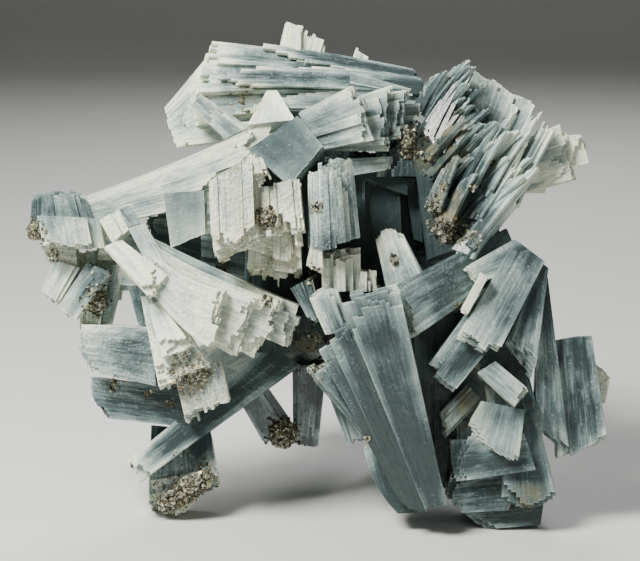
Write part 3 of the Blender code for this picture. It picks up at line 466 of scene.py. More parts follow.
class Patch:
    """The space that a fan fills."""

    def __init__(self, fan):
        root_left, root_right, tip_left = (place(*c) for c in (fan.root_left, fan.root_right, fan.tip_left))
        leaf_normal = np.cross(tip_left - root_left, root_right - root_left)
        tip_right = slide(place(*fan.tip_right), root_left, leaf_normal)
        self.corners = root_left, root_right, tip_left, tip_right
        axis = (tip_left + tip_right - root_left - root_right) / 2
        side = (tip_right + root_right - tip_left - root_left) / 2
        self.length = np.linalg.norm(axis)
        self.width = np.linalg.norm(side)
        self.side = unit(side)
        normal = unit(np.cross(axis, side))
        self.back = normal if normal[1] > 0 else -normal
        self.thick, self.bow, self.arch = fan.thick, fan.bow, fan.arch
        self.mean_thick = sum(fan.thick) / 2

    def at(self, s, t, h):
        """Points of shape (..., 3): (1-s)((1-t) root_left + t root_right) + s((1-t) tip_left + t tip_right),
        plus bow 4s(1-s) sideways, plus h times the thickness, less arch 4t(1-t)(1-h), along the normal."""
        s, t, h = (np.asarray(x, float)[..., None] for x in (s, t, h))
        root_left, root_right, tip_left, tip_right = self.corners
        flat = (1 - s) * ((1 - t) * root_left + t * root_right) + s * ((1 - t) * tip_left + t * tip_right)
        bowed = flat + self.bow * 4 * s * (1 - s) * self.side
        depth = h * ((1 - s) * self.thick[0] + s * self.thick[1])
        return bowed + (depth - self.arch * 4 * t * (1 - t) * (1 - h)) * self.back


crown = Patch(FANS[0])
print("the first fan is", round(crown.length, 1), "by", round(crown.width, 1), "mm")

# %% [markdown]
# ## The solid's own leaves
#
# The solid cuts a fan into one to three coarse leaves and each leaf into a few laths of different length. The
# same draws are made here in the same order, so the fine leaves can follow them.

# %% Coarse leaves
REACH = 0.5  # the share of its raggedness by which the longest lath passes a fan's drawn tip
INSET = 0.03  # how far each leaf of several draws in its sides at least, as a share of the width
LEAF_JITTER = 0.4  # how far the cut between two leaves may be off, in leaves
LATH_JITTER = 0.35  # how far the cut between two laths may be off, in laths


def coarse_leaves(fan, seed):
    """The solid's leaves of a fan: for each, its front and back depth, and the laths' edges, roots and tips.
    Leaves far from the middle one end sooner."""
    draw = np.random.default_rng(seed)
    patch = Patch(fan)
    cuts = np.linspace(0.0, 1.0, fan.leaves + 1)
    cuts[1:-1] += (draw.random(fan.leaves - 1) - 0.5) * LEAF_JITTER / fan.leaves
    for leaf in range(fan.leaves):
        outward = abs(leaf - (fan.leaves - 1) / 2) / fan.leaves
        tips = 1.0 + (REACH - draw.random(fan.laths) - outward) * fan.ragged / patch.length
        roots = draw.random(fan.laths) * fan.root_ragged / patch.length
        inset = INSET * (1 + draw.random(2)) if fan.leaves > 1 else np.zeros(2)
        edges = np.linspace(inset[0], 1 - inset[1], fan.laths + 1)
        edges[1:-1] += (draw.random(fan.laths - 1) - 0.5) * LATH_JITTER / fan.laths
        yield cuts[leaf], cuts[leaf + 1], edges, roots, tips


print("the first fan has", len(list(coarse_leaves(FANS[0], 1))), "coarse leaves")

# %% [markdown]
# ## Laths
#
# A lath is a long thin box. Its cross-section, four corners, is carried along s from its root to its tip in a
# few stations. Neighbours in one leaf share their edges and the height of the front there, so the leaf's
# front is one faceted face with faint ribs, and only its end is cut in steps. An Array modifier would make
# all laths alike, and a cube for each would make thousands of objects. Here all laths of a fan are worked
# out as one array of laths by stations by corners, so there is no loop over points.

# %% Many laths as one array
CORNERS = 4  # of the cross-section: back left, front left, front right, back right


@dataclass
class Laths:
    """Arrays with one entry for each lath, in the fan's space."""

    left: np.ndarray  # its edges, in t
    right: np.ndarray
    root: np.ndarray  # its ends, in s
    tip: np.ndarray
    front_left: np.ndarray  # the depth of its front at either edge, and of its back, in h
    front_right: np.ndarray
    back: np.ndarray
    rim_left: np.ndarray  # how far its edges lie from the leaf's sides, in millimetres
    rim_right: np.ndarray
    milk: np.ndarray  # what it adds to the fan's milkiness
    band: np.ndarray  # a random number that neighbours share in bands


def swept(patch, laths, stations):
    """The laths' points, shape (laths, stations, 4, 3), their UV and their distance from the leaf's sides.
    Station k is at s = root + (tip - root) k/(stations-1). U is metres across the fan, and V is metres from
    the lath's tip."""
    share = np.linspace(0, 1, stations)
    s = laths.root[:, None] + (laths.tip - laths.root)[:, None] * share
    t = np.stack([laths.left, laths.left, laths.right, laths.right], axis=1)[:, None]
    h = np.stack([laths.back, laths.front_left, laths.front_right, laths.back], axis=1)[:, None]
    rim = np.stack([laths.rim_left, laths.rim_left, laths.rim_right, laths.rim_right], axis=1)[:, None]
    s, t, h, rim = np.broadcast_arrays(s[..., None], t, h, rim)
    uv = np.stack([t * patch.width, (laths.tip[:, None, None] - s) * patch.length], axis=3) * MM
    return patch.at(s, t, h), uv, rim


def lath_faces(count, stations):
    """The faces of the swept laths: corner c of station k of lath i is vertex (i stations + k) 4 + c. A side
    joins two stations, and a cap is the four corners of the first or the last one."""
    i, k, c = np.meshgrid(np.arange(count), np.arange(stations - 1), np.arange(CORNERS), indexing="ij")
    here = (i * stations + k) * CORNERS
    after = (c + 1) % CORNERS
    sides = np.stack([here + c, here + after, here + CORNERS + after, here + CORNERS + c], axis=-1)
    first = np.arange(count)[:, None] * stations * CORNERS + np.arange(CORNERS)
    last = first + (stations - 1) * CORNERS
    return np.concatenate([sides.reshape(-1, 4), first[:, ::-1], last])


print("a lath of 3 stations has", len(lath_faces(1, 3)), "faces")

# %% [markdown]
# ## How each kind of fan breaks
#
# The broad blades of the keel and the right side end almost straight, the crown breaks into terraces, the
# rough white blocks crumble into columns, and a page of the book ends in a slanting point. A style holds
# these habits as a few lengths and shares, and tables give them to the fans by the start of their names.


# %% Styles
@dataclass
class Style:
    """How a fan breaks. Lengths are in millimetres."""

    rough: float = 0.0  # from -1, smooth, to 1
    ragged: float = 0.8  # how far laths step back at the tip
    root_ragged: float = 0.0  # and at the root
    ribbed: float = 0.14  # how far they stand out in front
    relief: float = 0.0  # how far whole columns of laths step back in front
    terrace: float = 0.12  # the share of the length that an outer leaf loses
    narrowing: float = 0.5  # the share of the width that an outer leaf may lose at either side
    point: float = 0.0  # how far the end draws back at the sides
    apex: float = 0.0  # where the end reaches furthest, from -1, left, to 1, right
    fine: float = 1.0  # how wide its laths are, in plain widths
    leaf: float = 1.0  # how thick its leaves are, in plain thicknesses


BROAD = (
    "central_ wedge right_ far_right curved_leaf second_fan crusty centre_cube left_slab lower_slab rod mass "
    "foot"
)
STARTS = {
    "terrace": {
        0.04: "far_right right_rib",
        0.70: "crown_",
        0.40: "left_arm book_fan",
        0.30: "second_fan white_ back_ column",
    },
    "relief": {
        1.6: "shade_blades recess_wall recess_blade heart white_steps",
        0.9: "column white_lump",
        0.5: "white_block crusty left_chin left_dome foot_point knob_fan",
    },
    "point": {
        2.5: "mass_",
        1.5: "left_slab small_peak companion_plate foot_point left_block_upper recess_plate lower_slab",
    },
}
PAGES = {
    "book_page": {"point": 3.0, "apex": 0.8, "ragged": 1.2, "ribbed": 0.08, "fine": 1.3, "root_ragged": 2.5},
    "book_feather": {
        "point": 5.0, "apex": 0.8, "ragged": 0.5, "ribbed": 0.05, "narrowing": 0.0, "root_ragged": 1.5
    },
}
GLASSY = -0.9  # a fan smoother than this has no terraces


def begins(name, starts):
    return name.startswith(tuple(starts.split()))


def style_of(name):
    """The fan's style from its roughness and its kind."""
    rough = entry(ROUGH, name, 0.0)
    style = Style(rough)
    if begins(name, BROAD):
        style = replace(style, ribbed=0.04, narrowing=0.0, fine=1.3)
    for habit, table in STARTS.items():
        for value, starts in table.items():
            if begins(name, starts):
                style = replace(style, **{habit: value})
    style.leaf += style.relief
    if rough > 0:
        style = replace(style, ragged=0.8 + 0.7 * rough, fine=0.8)
    if rough < GLASSY:
        style = replace(style, ragged=0.2, terrace=0.0)
    for start, habits in PAGES.items():
        if name.startswith(start):
            style = replace(style, **habits)
    return style


print("terraces of the crown:", style_of("crown_upper").terrace)

# %% [markdown]
# ## Thin leaves
#
# Each leaf of the solid is split into thin leaves. A thin leaf ends in steps, one plateau for each few laths,
# like the edge of a broken slate. The outermost ones break off early and cover only part of the front, which
# leaves low terraces with bright edges. A bump texture could draw the steps on a plain block, but they show
# most at the ends, against whatever is behind them, and there only real steps will do.

# %% Leaves split into laths
LEAF_THICK = 0.65
LATH_WIDTH = 0.75
CUT_JITTER = 0.6  # how far a cut between fine laths or leaves may be off, in laths or leaves
SIDE_STEP = 0.35  # how far a thin leaf's sides may lie inside its coarse leaf's
NARROWABLE = 4.0  # an outer leaf wider than this may be narrower than the others
SHORTEST = 0.12  # the least share of the length that a lath keeps
CHIP = 0.15  # how far single laths are broken back
SETBACK = 0.8  # how far a whole thin leaf is broken back
TERRACE_STEPS, TERRACE_SLANT = 0.6, 0.7  # how much of a terrace's loss is in steps, and how much in a slant
BREAK = 2.6  # a column that steps back in front also ends sooner, by this many times as much
DEEPEST = 0.8  # how far a lath may step back in front, in thicknesses of its leaf
RIB = 0.025  # how far the faint ribs of a leaf's front stand out
BACK_OVERLAP = 0.10  # how far a thin leaf reaches into the one behind it
LEAF_MILK, LATH_MILK = 0.16, 0.03  # how much leaves and laths differ in milkiness
GOING_ON = {"tip": 0.55, "terrace": 0.85, "column": 0.62, "root": 0.60, "rib": 0.93, "band": 0.93}


def split_evenly(draw, low, high, step):
    """Edges from low to high, about step apart, each moved by up to half of CUT_JITTER."""
    count = max(1, round((high - low) / step))
    edges = np.linspace(low, high, count + 1)
    edges[1:-1] += (draw.random(count - 1) - 0.5) * CUT_JITTER * (high - low) / count
    return edges


def plateaus(draw, count, what):
    """A random number for each of count laths, held over runs: each lath repeats the last one's number with
    the chance that GOING_ON gives."""
    new = draw.random(count) >= GOING_ON[what]
    new[0] = True
    return draw.random(count)[np.cumsum(new) - 1]


def thin_leaf(draw, patch, coarse, front, back, outer, style):
    """One thin leaf, as the values of Laths in their order. coarse holds the solid's lath edges, roots and
    tips. A lath's tip is its coarse lath's, less plateaus of up to style.ragged. An outer leaf ends in a
    blunt point: its laths lose a share of the length that grows with their distance from an apex."""
    edges, roots, tips = coarse
    thick = patch.mean_thick
    inset = draw.random(2) * SIDE_STEP / patch.width
    low, high = edges[0] + inset[0], edges[-1] - inset[1]
    if outer and high - low > NARROWABLE / patch.width:
        cut = draw.random(2) ** 2 * style.narrowing * (high - low)
        low, high = low + cut[0], high - cut[1]
    fine = split_evenly(draw, low, high, LATH_WIDTH * style.fine / patch.width)
    count = len(fine) - 1
    middle = (fine[:-1] + fine[1:]) / 2
    lath = np.clip(np.searchsorted(edges, middle) - 1, 0, len(tips) - 1)
    ragged = plateaus(draw, count, "tip") * style.ragged
    short = ragged + draw.random(count) * CHIP + draw.random() ** 2 * SETBACK
    tip = tips[lath] - short / patch.length
    if outer:
        apex = low + draw.random() * (high - low)
        slant = np.abs(middle - apex) / (high - low)
        steps = plateaus(draw, count, "terrace") ** 1.5
        tip -= (steps * TERRACE_STEPS + slant * TERRACE_SLANT) * style.terrace
    off_apex = ((middle - edges[0]) / (edges[-1] - edges[0]) * 2 - 1 - style.apex) / (1 + abs(style.apex))
    columns = plateaus(draw, count, "column") * style.relief
    tip -= (style.point * off_apex**2 + columns * BREAK) / patch.length
    tip = np.maximum(tip, roots[lath] + SHORTEST)
    root = roots[lath] + plateaus(draw, count, "root") * style.root_ragged / patch.length
    ribs = np.abs(draw.normal(size=count + 1)) * RIB + plateaus(draw, count + 1, "rib") * style.ribbed
    deepest = (back - front) * thick * DEEPEST
    front_left = front + np.minimum(ribs[:-1] + columns, deepest) / thick
    front_right = front + np.minimum(ribs[1:] + columns, deepest) / thick
    behind = np.full(count, back + (BACK_OVERLAP / thick if back < 1 else 0.0))
    rim = np.minimum(fine - low, high - fine) * patch.width
    milk = np.full(count, (draw.random() - 0.5) * LEAF_MILK) + (draw.random(count) - 0.5) * LATH_MILK
    band = plateaus(draw, count, "band")
    return fine[:-1], fine[1:], root, tip, front_left, front_right, behind, rim[:-1], rim[1:], milk, band


def thin_laths(draw, patch, fan, seed):
    """All laths of a fan, as one Laths. The first two thin leaves in front and the last at the back are outer
    ones, where their coarse leaf is split in three or more."""
    style = style_of(fan.name)
    found = []
    for front, back, *coarse in coarse_leaves(fan, seed):
        layers = split_evenly(draw, front, back, LEAF_THICK * style.leaf / patch.mean_thick)
        count = len(layers) - 1
        for layer in range(count):
            in_front = front == 0.0 and layer < 2
            at_back = back == 1.0 and layer == count - 1
            outer = count > 2 and (in_front or at_back)
            found.append(thin_leaf(draw, patch, coarse, layers[layer], layers[layer + 1], outer, style))
    return Laths(*(np.concatenate(values) for values in zip(*found)))


print("leaves", LEAF_THICK, "mm thick, laths", LATH_WIDTH, "mm wide")

# %% [markdown]
# ## Feathers between the pages
#
# The fan at the upper right is a book whose pages grew apart like feathers. The solid has its main pages. The
# thin ones between them start and end at random on the lines from the book's spine to its fore edge. They
# could be rows of the table too, but so many that are nearly alike are quicker drawn between two lines.

# %% Feathers
FEATHERS = 34
FEATHER_THICK = (2.2, 1.0)
FEATHER_BOW = -0.8
NARROW, WIDER = 1.6, 2.6  # the least width of a feather's root, and how much wider it may be
TIP_SHARE = 0.6  # the width of its tip, in widths of its root
SIDE_DEPTH = 1.3  # how much deeper its left side lies, in widths
ROOT_DEPTH, ROOT_SCATTER = 3.5, 0.9  # how deep behind the lines its root lies, and how that varies
TIP_DEPTH, TIP_SCATTER = 0.6, 1.1
# points across, up and deep
SPINE = [(24.6, 40.4, 3.0), (26.0, 33.0, 0.0), (26.5, 25.0, -2.5), (27.0, 16.0, -3.5), (34.0, 8.5, -5.0)]
FORE_EDGE = [
    (32.0, 53.0, 4.0),
    (40.5, 56.0, 2.5),
    (42.2, 50.0, 1.0),
    (43.0, 42.5, -1.0),
    (50.0, 41.5, -2.5),
    (54.0, 42.0, -3.5),
    (57.3, 32.0, -6.0),
]


def along(line, share):
    """Points at a share of the way along a line of equally spaced points."""
    marks = np.linspace(0, 1, len(line))
    return np.stack([np.interp(share, marks, values) for values in zip(*line)], axis=-1)


def feathers(draw):
    """Thin fans, each a part of a line from the spine to the fore edge. It starts in the first 0.6 of the
    line and covers 0.45 to 1 of the rest, and its tip stands out over the next one's root."""
    share = (np.arange(FEATHERS) + draw.random(FEATHERS)) / FEATHERS
    spine, fore_edge = along(SPINE, share), along(FORE_EDGE, share)
    start = draw.random(FEATHERS) ** 1.5 * 0.6
    end = start + (1 - start) * (0.45 + 0.55 * draw.random(FEATHERS))
    root = spine + (fore_edge - spine) * start[:, None]
    tip = spine + (fore_edge - spine) * end[:, None]
    root[:, 2] += ROOT_DEPTH + draw.normal(size=FEATHERS) * ROOT_SCATTER
    tip[:, 2] += TIP_DEPTH + draw.normal(size=FEATHERS) * TIP_SCATTER
    along_it = (tip - root) / np.linalg.norm(tip - root, axis=1)[:, None]
    width = (NARROW + WIDER * draw.random(FEATHERS) ** 1.5)[:, None]
    across_it = np.stack([-along_it[:, 1], along_it[:, 0], np.full(FEATHERS, SIDE_DEPTH)], axis=-1) * width
    corners = np.stack([root + across_it, root, tip + across_it * TIP_SHARE, tip], axis=1)
    return [
        Fan(f"book_feather_{i}", *map(tuple, four), FEATHER_THICK, laths=1, bow=FEATHER_BOW)
        for i, four in enumerate(corners)
    ]


FANS_AND_FEATHERS = FANS + feathers(np.random.default_rng(3))
print(FEATHERS, "feathers")

# %% [markdown]
# ## From arrays to pieces
#
# The fans are gathered into a few pieces by where they stand, to keep each piece a handy size. A piece is one
# mesh of closed shells. A Boolean could merge them into one skin, but it is slow on so many, and the walls
# inside never show, because the crystal's material is not see-through. The UV map follows the laths, and an
# attribute named look holds each lath's milkiness, a random number, its warmth and its roughness.

# %% Build the meshes
STATIONS = 3
BOWED_STATIONS = 9
PAGE_BOW = -0.7
FIRST_SEED = 1000  # the fine draws' seeds start here, clear of the coarse ones
UV_SHIFT = 0.05  # from one fan to the next, so that no two have the same pattern
PIECES = {
    "crystals_crown": "crown knob top_chip wedge",
    "crystals_left": "left_ window lower_slab grey_facet rod foot recess_blade ledge_back",
    "crystals_curved": "white_arm white_heel inner_blade curved second crusty",
    "crystals_middle": "centre white_block white_lump white_steps column companion mid_stub small_peak heart "
    "recess_plate",
    "crystals_keel": "central_ back_stub recess_wall",
    "crystals_right": "right_ far_right mass recess_leaf recess_stub recess_floor",
    "crystals_book": "book shade tray",
    "crystals_back": "back_",
}


def piece_of(name):
    """The piece with the longest start that the fan's name has."""
    fits = [(len(s), piece) for piece, starts in PIECES.items() for s in starts.split() if begins(name, s)]
    return max(fits)[1]


def fan_arrays(fan, seed):
    """A fan's points, UV, look, and distance from the leaf's sides with its frost, as flat arrays, and its
    faces. They are turned over where side, back and length make a left-handed corner, so that every face
    points outwards."""
    draw = np.random.default_rng(FIRST_SEED + seed)
    fan = replace(fan, bow=PAGE_BOW) if fan.name.startswith("book_page") else fan
    patch = Patch(fan)
    laths = thin_laths(draw, patch, fan, seed)
    stations = BOWED_STATIONS if fan.bow else STATIONS
    points, uv, rim = swept(patch, laths, stations)
    count = len(laths.tip)
    look = np.ones((count, stations, CORNERS, 4))
    look[..., 0] = (milk_of(fan.name) + laths.milk)[:, None, None]
    look[..., 1] = laths.band[:, None, None]
    look[..., 2] = entry(WARM, fan.name, 0.0)
    look[..., 3] = entry(ROUGH, fan.name, 0.0)
    edge = np.stack([rim, np.full(rim.shape, frost_of(fan.name))], axis=-1)
    uv[..., 0] += seed * UV_SHIFT
    faces = lath_faces(count, stations)
    left_handed = np.dot(np.cross(patch.side, patch.back), patch.at(1, 0.5, 0) - patch.at(0, 0.5, 0)) < 0
    faces = faces[:, ::-1] if left_handed else faces
    return points.reshape(-1, 3), uv.reshape(-1, 2), look.reshape(-1, 4), edge.reshape(-1, 2), faces


def linked(name, mesh):
    """An object of the mesh in the scene."""
    made = bpy.data.objects.new(name, mesh)
    bpy.context.scene.collection.objects.link(made)
    return made


def store(mesh, name, kind, field, values):
    """A named value at each point of the mesh."""
    mesh.attributes.new(name, kind, "POINT").data.foreach_set(field, values.astype(np.float32).ravel())


def mesh_piece(name, points, uv, look, edge, faces):
    """A mesh object of quads from flat arrays, with its points in the growth frame. What would lie below
    the table is flattened onto it."""
    mesh = bpy.data.meshes.new(name)
    placed = on_table(points)
    placed[:, 2] = np.maximum(placed[:, 2], 0.0)
    loops = faces.ravel().astype(np.int32)
    mesh.vertices.add(len(placed))
    mesh.vertices.foreach_set("co", placed.astype(np.float32).ravel())
    mesh.loops.add(len(loops))
    mesh.loops.foreach_set("vertex_index", loops)
    mesh.polygons.add(len(faces))
    mesh.polygons.foreach_set("loop_start", np.arange(len(faces), dtype=np.int32) * CORNERS)
    mesh.update(calc_edges=True)
    mesh.shade_flat()
    layer = mesh.uv_layers.new(name="lath")
    layer.data.foreach_set("uv", uv[loops].astype(np.float32).ravel())
    store(mesh, "look", "FLOAT_COLOR", "color", look)
    store(mesh, "rim", "FLOAT", "value", edge[:, 0])
    store(mesh, "frost", "FLOAT", "value", edge[:, 1])
    return linked(name, mesh)


def joined(face_arrays, point_arrays):
    """Faces of several meshes in one numbering: each mesh's are shifted by the points before them."""
    before = np.cumsum([0] + [len(points) for points in point_arrays[:-1]])
    return np.concatenate([faces + shift for faces, shift in zip(face_arrays, before)])


crystals = {}
for piece in PIECES:
    numbered = enumerate(FANS_AND_FEATHERS, 1)
    parts = [fan_arrays(fan, number) for number, fan in numbered if piece_of(fan.name) == piece]
    *columns, faces = zip(*parts)
    crystals[piece] = mesh_piece(piece, *map(np.concatenate, columns), joined(faces, columns[0]))
    print(piece, len(parts), "fans,", 2 * len(crystals[piece].data.polygons), "triangles")

# %% [markdown]
# ## Crumbs of ore
#
# The vein's other minerals, small dark grains with a few brassy ones, cling to the roots of the fans as
# granular crusts. A grain is a cuboid whose eight corners are pushed about and which is then turned at
# random. A crust is a bumpy lump with such grains pressed into it. It stands where the solid has its lump.
# A particle system could strew copies of a few grains, but an array of corners makes every grain different
# and gives a plain mesh at once.

# %% Grains as whole arrays
CUBE = np.array([[x, y, z] for x in (-0.5, 0.5) for y in (-0.5, 0.5) for z in (-0.5, 0.5)])
CUBE_FACES = np.array([[0, 1, 3, 2], [4, 6, 7, 5], [0, 4, 5, 1], [2, 3, 7, 6], [0, 2, 6, 4], [1, 5, 7, 3]])
SHORT, LONGER = 0.6, 0.8  # the least length of a grain's side, and how much longer it may be, in grains
JITTER = 0.35  # how far its corners are pushed about, in grains


def turned(draw, count):
    """Random rotation matrices, shape (count, 3, 3), from unit quaternions w, x, y, z."""
    w, x, y, z = draw.normal(size=(count, 4)).T
    size = np.sqrt(w * w + x * x + y * y + z * z)
    w, x, y, z = w / size, x / size, y / size, z / size
    rows = [
        [1 - 2 * (y * y + z * z), 2 * (x * y - z * w), 2 * (x * z + y * w)],
        [2 * (x * y + z * w), 1 - 2 * (x * x + z * z), 2 * (y * z - x * w)],
        [2 * (x * z - y * w), 2 * (y * z + x * w), 1 - 2 * (x * x + y * y)],
    ]
    return np.moveaxis(np.array(rows), 2, 0)


def grains(draw, centres, sizes, pale=0.0):
    """Grains at centres, in metres: corner = centre + size R (cube corner, stretched and jittered). Returns
    the points, the faces, and a random tint from pale to 1 for each point, the same all over a grain."""
    count = len(centres)
    box = CUBE * (SHORT + LONGER * draw.random((count, 1, 3)))
    shape = box + (draw.random((count, 8, 3)) - 0.5) * JITTER
    corners = np.einsum("nij,nkj->nki", turned(draw, count), shape * sizes[:, None, None]) + centres[:, None]
    faces = CUBE_FACES + np.arange(count)[:, None, None] * 8
    tint = np.repeat(pale + (1 - pale) * draw.random(count), 8)
    return corners.reshape(-1, 3), faces.reshape(-1, 4), tint


print("a grain has", len(CUBE_FACES), "faces")

# %% [markdown]
# ## The lump under a crust
#
# A ball with eight waves of random direction on it looks like packed gravel and leaves no holes between the
# grains. A sphere with a Displace modifier would do too, but the formula can also hold the bumps inside the
# solid's lump. The poles are rings of doubled points, which are merged once the crust is one mesh.

# %% Lumps, and one object of many parts
LUMP_TINT = 0.35
WAVES, PITCH, TALL = 8, 4.0, 0.06  # how many, how many radians of them to a radius, and how high in radii
SHIFT = 6.3  # how far a wave may be shifted, in radians: about a whole turn
MERGE = 1e-7  # metres


def lump(draw, centre, half, rows=14, columns=22):
    """A bumpy ball: the point at angles a from the top and b round it is centre + half (sin a cos b, sin a
    sin b, cos a) times 0.8 + the bumps, but at most 1."""
    down = np.linspace(0, np.pi, rows + 1)
    a, b = np.meshgrid(down, np.arange(columns) * 2 * np.pi / columns, indexing="ij")
    ball = np.stack([np.sin(a) * np.cos(b), np.sin(a) * np.sin(b), np.cos(a)], axis=-1)
    waves = draw.normal(size=(WAVES, 3)) * PITCH
    bumps = np.sin(ball @ waves.T + draw.random(WAVES) * SHIFT).sum(axis=-1) * TALL
    points = centre + half * ball * np.minimum(0.80 + bumps, 1.0)[..., None]
    i, j = np.meshgrid(np.arange(rows), np.arange(columns), indexing="ij")
    here, right = i * columns + j, i * columns + (j + 1) % columns
    faces = np.stack([here, here + columns, right + columns, right], axis=-1).reshape(-1, 4)
    return points.reshape(-1, 3), faces, np.full(points.size // 3, LUMP_TINT)


def grain_object(name, parts):
    """One object of several (points, faces, tint) parts, with doubled points merged, and nothing below the
    table."""
    points, faces, tint = zip(*parts)
    placed = np.concatenate(points)
    placed[:, 2] = np.maximum(placed[:, 2], 0.0)
    mesh = bpy.data.meshes.new(name)
    mesh.from_pydata(placed.tolist(), [], joined(faces, points).tolist())
    store(mesh, "tint", "FLOAT", "value", np.concatenate(tint))
    work = bmesh.new()
    work.from_mesh(mesh)
    bmesh.ops.remove_doubles(work, verts=work.verts, dist=MERGE)
    work.to_mesh(mesh)
    work.free()
    return linked(name, mesh)


print("a lump has", len(lump(np.random.default_rng(0), 0.0, 1.0)[1]), "faces")

# %% [markdown]
# ## Landing grains on the crystals
#
# A grain lies where a line of sight first meets a crystal, so crumbs are laid by casting rays. The rays start
# at the eye and pass through a round spot, denser in its middle. Crumbs strewn over all faces would mostly
# lie on walls that are buried in the cluster.

# %% Cast rays from the eye
bpy.context.view_layer.update()
trees = [BVHTree.FromObject(piece, bpy.context.evaluated_depsgraph_get()) for piece in crystals.values()]
EYE = Vector(on_table(np.array([0.0, -EYE_DISTANCE, 0.0])))


def landing(start, toward):
    """The first point on a crystal that the ray from start toward a point meets, or None."""
    hits = [tree.ray_cast(start, (toward - start).normalized()) for tree in trees]
    near = [(distance, spot) for spot, _, _, distance in hits if spot is not None]
    return min(near)[1] if near else None


def crumbs(draw, across, up, radius, count, size, pale=0.0):
    """Grains on the crystals inside a spot, seen from the eye. Their distance from its middle is radius times
    a random number to the power 0.75, and their size is size times 0.25 + 0.9 times the cube of another, so
    that small ones are many and large ones few."""
    angle, reach = draw.random(count) * 2 * np.pi, radius * draw.random(count) ** 0.75
    aims = [place(across + r * np.cos(a), up + r * np.sin(a), 0.0) for r, a in zip(reach, angle)]
    spots = [landing(EYE, Vector(on_table(aim))) for aim in aims]
    centres = np.array([spot for spot in spots if spot is not None]).reshape(-1, 3)
    sizes = size * MM * (0.25 + draw.random(len(centres)) ** 3 * 0.9)
    return grains(draw, centres, sizes, pale)


print("the eye is at", [round(x, 3) for x in EYE])

# %% [markdown]
# ## The crusts and the loose crumbs
#
# Every crust of the solid gets its lump and grains. Small crumbs that the solid leaves out, at the root of
# the book of pages and on the white blocks, are gathered in one piece of their own. On the foot the crust
# climbs to the right in a narrow band, so its lump and grains are turned and squeezed within the solid's.

# %% Where the crusts and the crumbs are
CRUSTS = {
    # node: where the eye sees its middle, across and up, half its width and height, and how pale it is
    "ore_crust_foot": (-33.25, -52.5, 8.0, 5.0, 0.28),
    "ore_crust_left_fan": (-56.0, -5.0, 3.3, 3.3, 0.0),
    "ore_crust_left_tip": (-71.25, 12.25, 2.2, 2.6, 0.3),
    "ore_crust_back_stub": (-9.5, -38.0, 4.0, 4.0, 0.0),
    "ore_crust_heart": (-13.5, 15.5, 2.1, 2.1, 0.0),
    "ore_crust_ledge": (-32.0, -24.0, 5.0, 2.8, 0.55),
    "ore_crust_book_root": (32.5, 12.0, 3.2, 2.4, 0.0),
    "ore_crust_crown_end": (22.0, 34.5, 2.0, 4.0, 0.0),
}
SPREAD = {
    # node: how many degrees it rises to the right, and how much wider, deeper and higher than its lump it is
    "ore_crust_foot": (32.0, (1.05, 1.0, 0.70)),
    "ore_crust_book_root": (60.0, (0.95, 0.9, 0.70)),
}
CRUMBS = [
    # across, up, radius, how many, grain size, how pale
    (-13.5, 15.5, 3.0, 150, 0.9),
    (-0.8, 18.2, 1.6, 50, 0.8),
    (-2.3, 2.3, 2.2, 60, 0.9),
    (-2.6, 0.3, 1.6, 40, 0.7),
    (-13.2, -5.2, 1.5, 50, 0.7),
    (-24.6, 3.6, 1.4, 40, 0.7),
    (-51.5, -25.7, 2.0, 60, 0.8),
    (-37.3, -30.5, 1.2, 30, 0.7),
    (-43.0, -28.0, 1.2, 30, 0.6),
    (-32.0, -23.5, 5.5, 300, 0.6, 0.55),
    (-2.0, -14.0, 5.0, 160, 0.45),
    (-1.5, -22.0, 4.0, 120, 0.45),
    (-48.0, -47.0, 1.5, 50, 0.8),
    (-36.0, -55.0, 7.0, 300, 0.55, 0.3),
    (-29.0, -50.0, 5.0, 240, 0.6),
    (-38.5, -57.5, 4.0, 160, 0.6, 0.2),
    (-9.0, -38.5, 4.5, 260, 0.6),
    (-6.5, -41.5, 2.0, 60, 0.9),
    (11.5, -39.5, 1.0, 30, 0.7),
    (18.5, 5.2, 1.2, 60, 0.8),
    (22.0, 32.0, 1.8, 110, 0.9),
    (22.5, 36.5, 1.6, 80, 0.9),
    (31.0, 23.5, 1.5, 60, 0.55),
    (28.5, 19.0, 2.5, 90, 0.5),
    (30.0, 13.5, 3.5, 160, 0.45, 0.2),
    (32.5, 12.5, 2.6, 110, 0.55),
    (37.5, 11.5, 3.0, 90, 0.6, 0.3),
    (28.0, 33.0, 3.5, 80, 0.45),
    (38.3, 23.3, 1.0, 50, 0.65),
    (43.2, 29.3, 0.9, 40, 0.6),
    (34.5, -6.0, 0.8, 20, 0.7),
    (-19.0, 45.0, 4.5, 70, 0.5),
    (-67.0, 7.5, 3.0, 50, 0.6),
    (-55.0, 1.5, 3.5, 40, 0.6),
]
print(len(CRUSTS), "crusts,", len(CRUMBS), "spots of crumbs")

# %% [markdown]
# Grains sit on a random point of the lump's ball, a little inside it, so that they look grown in. Fewer and
# smaller ones are strewn round it.

# %% Crusts on the solid's lumps, and crumbs between them
LUMP_GRAINS = 1300
GRAIN_SIZE = 0.165  # the middling grain of a crust, times the root of half the crust's height
STREWN, STREWN_SIZE = 200, 0.6  # the crumbs round a crust, how many and how large
STREWN_REACH = 1.3  # how far they reach, in halves of the crust's longer side


def spread(points, middle, degrees=0.0, stretch=1.0):
    """Points stretched about the middle and then turned by an angle in the plane of the front."""
    cosine, sine = np.cos(np.radians(degrees)), np.sin(np.radians(degrees))
    right, deep, up = ((points - middle) * stretch).T
    return middle + np.stack([cosine * right - sine * up, deep, sine * right + cosine * up], axis=-1)


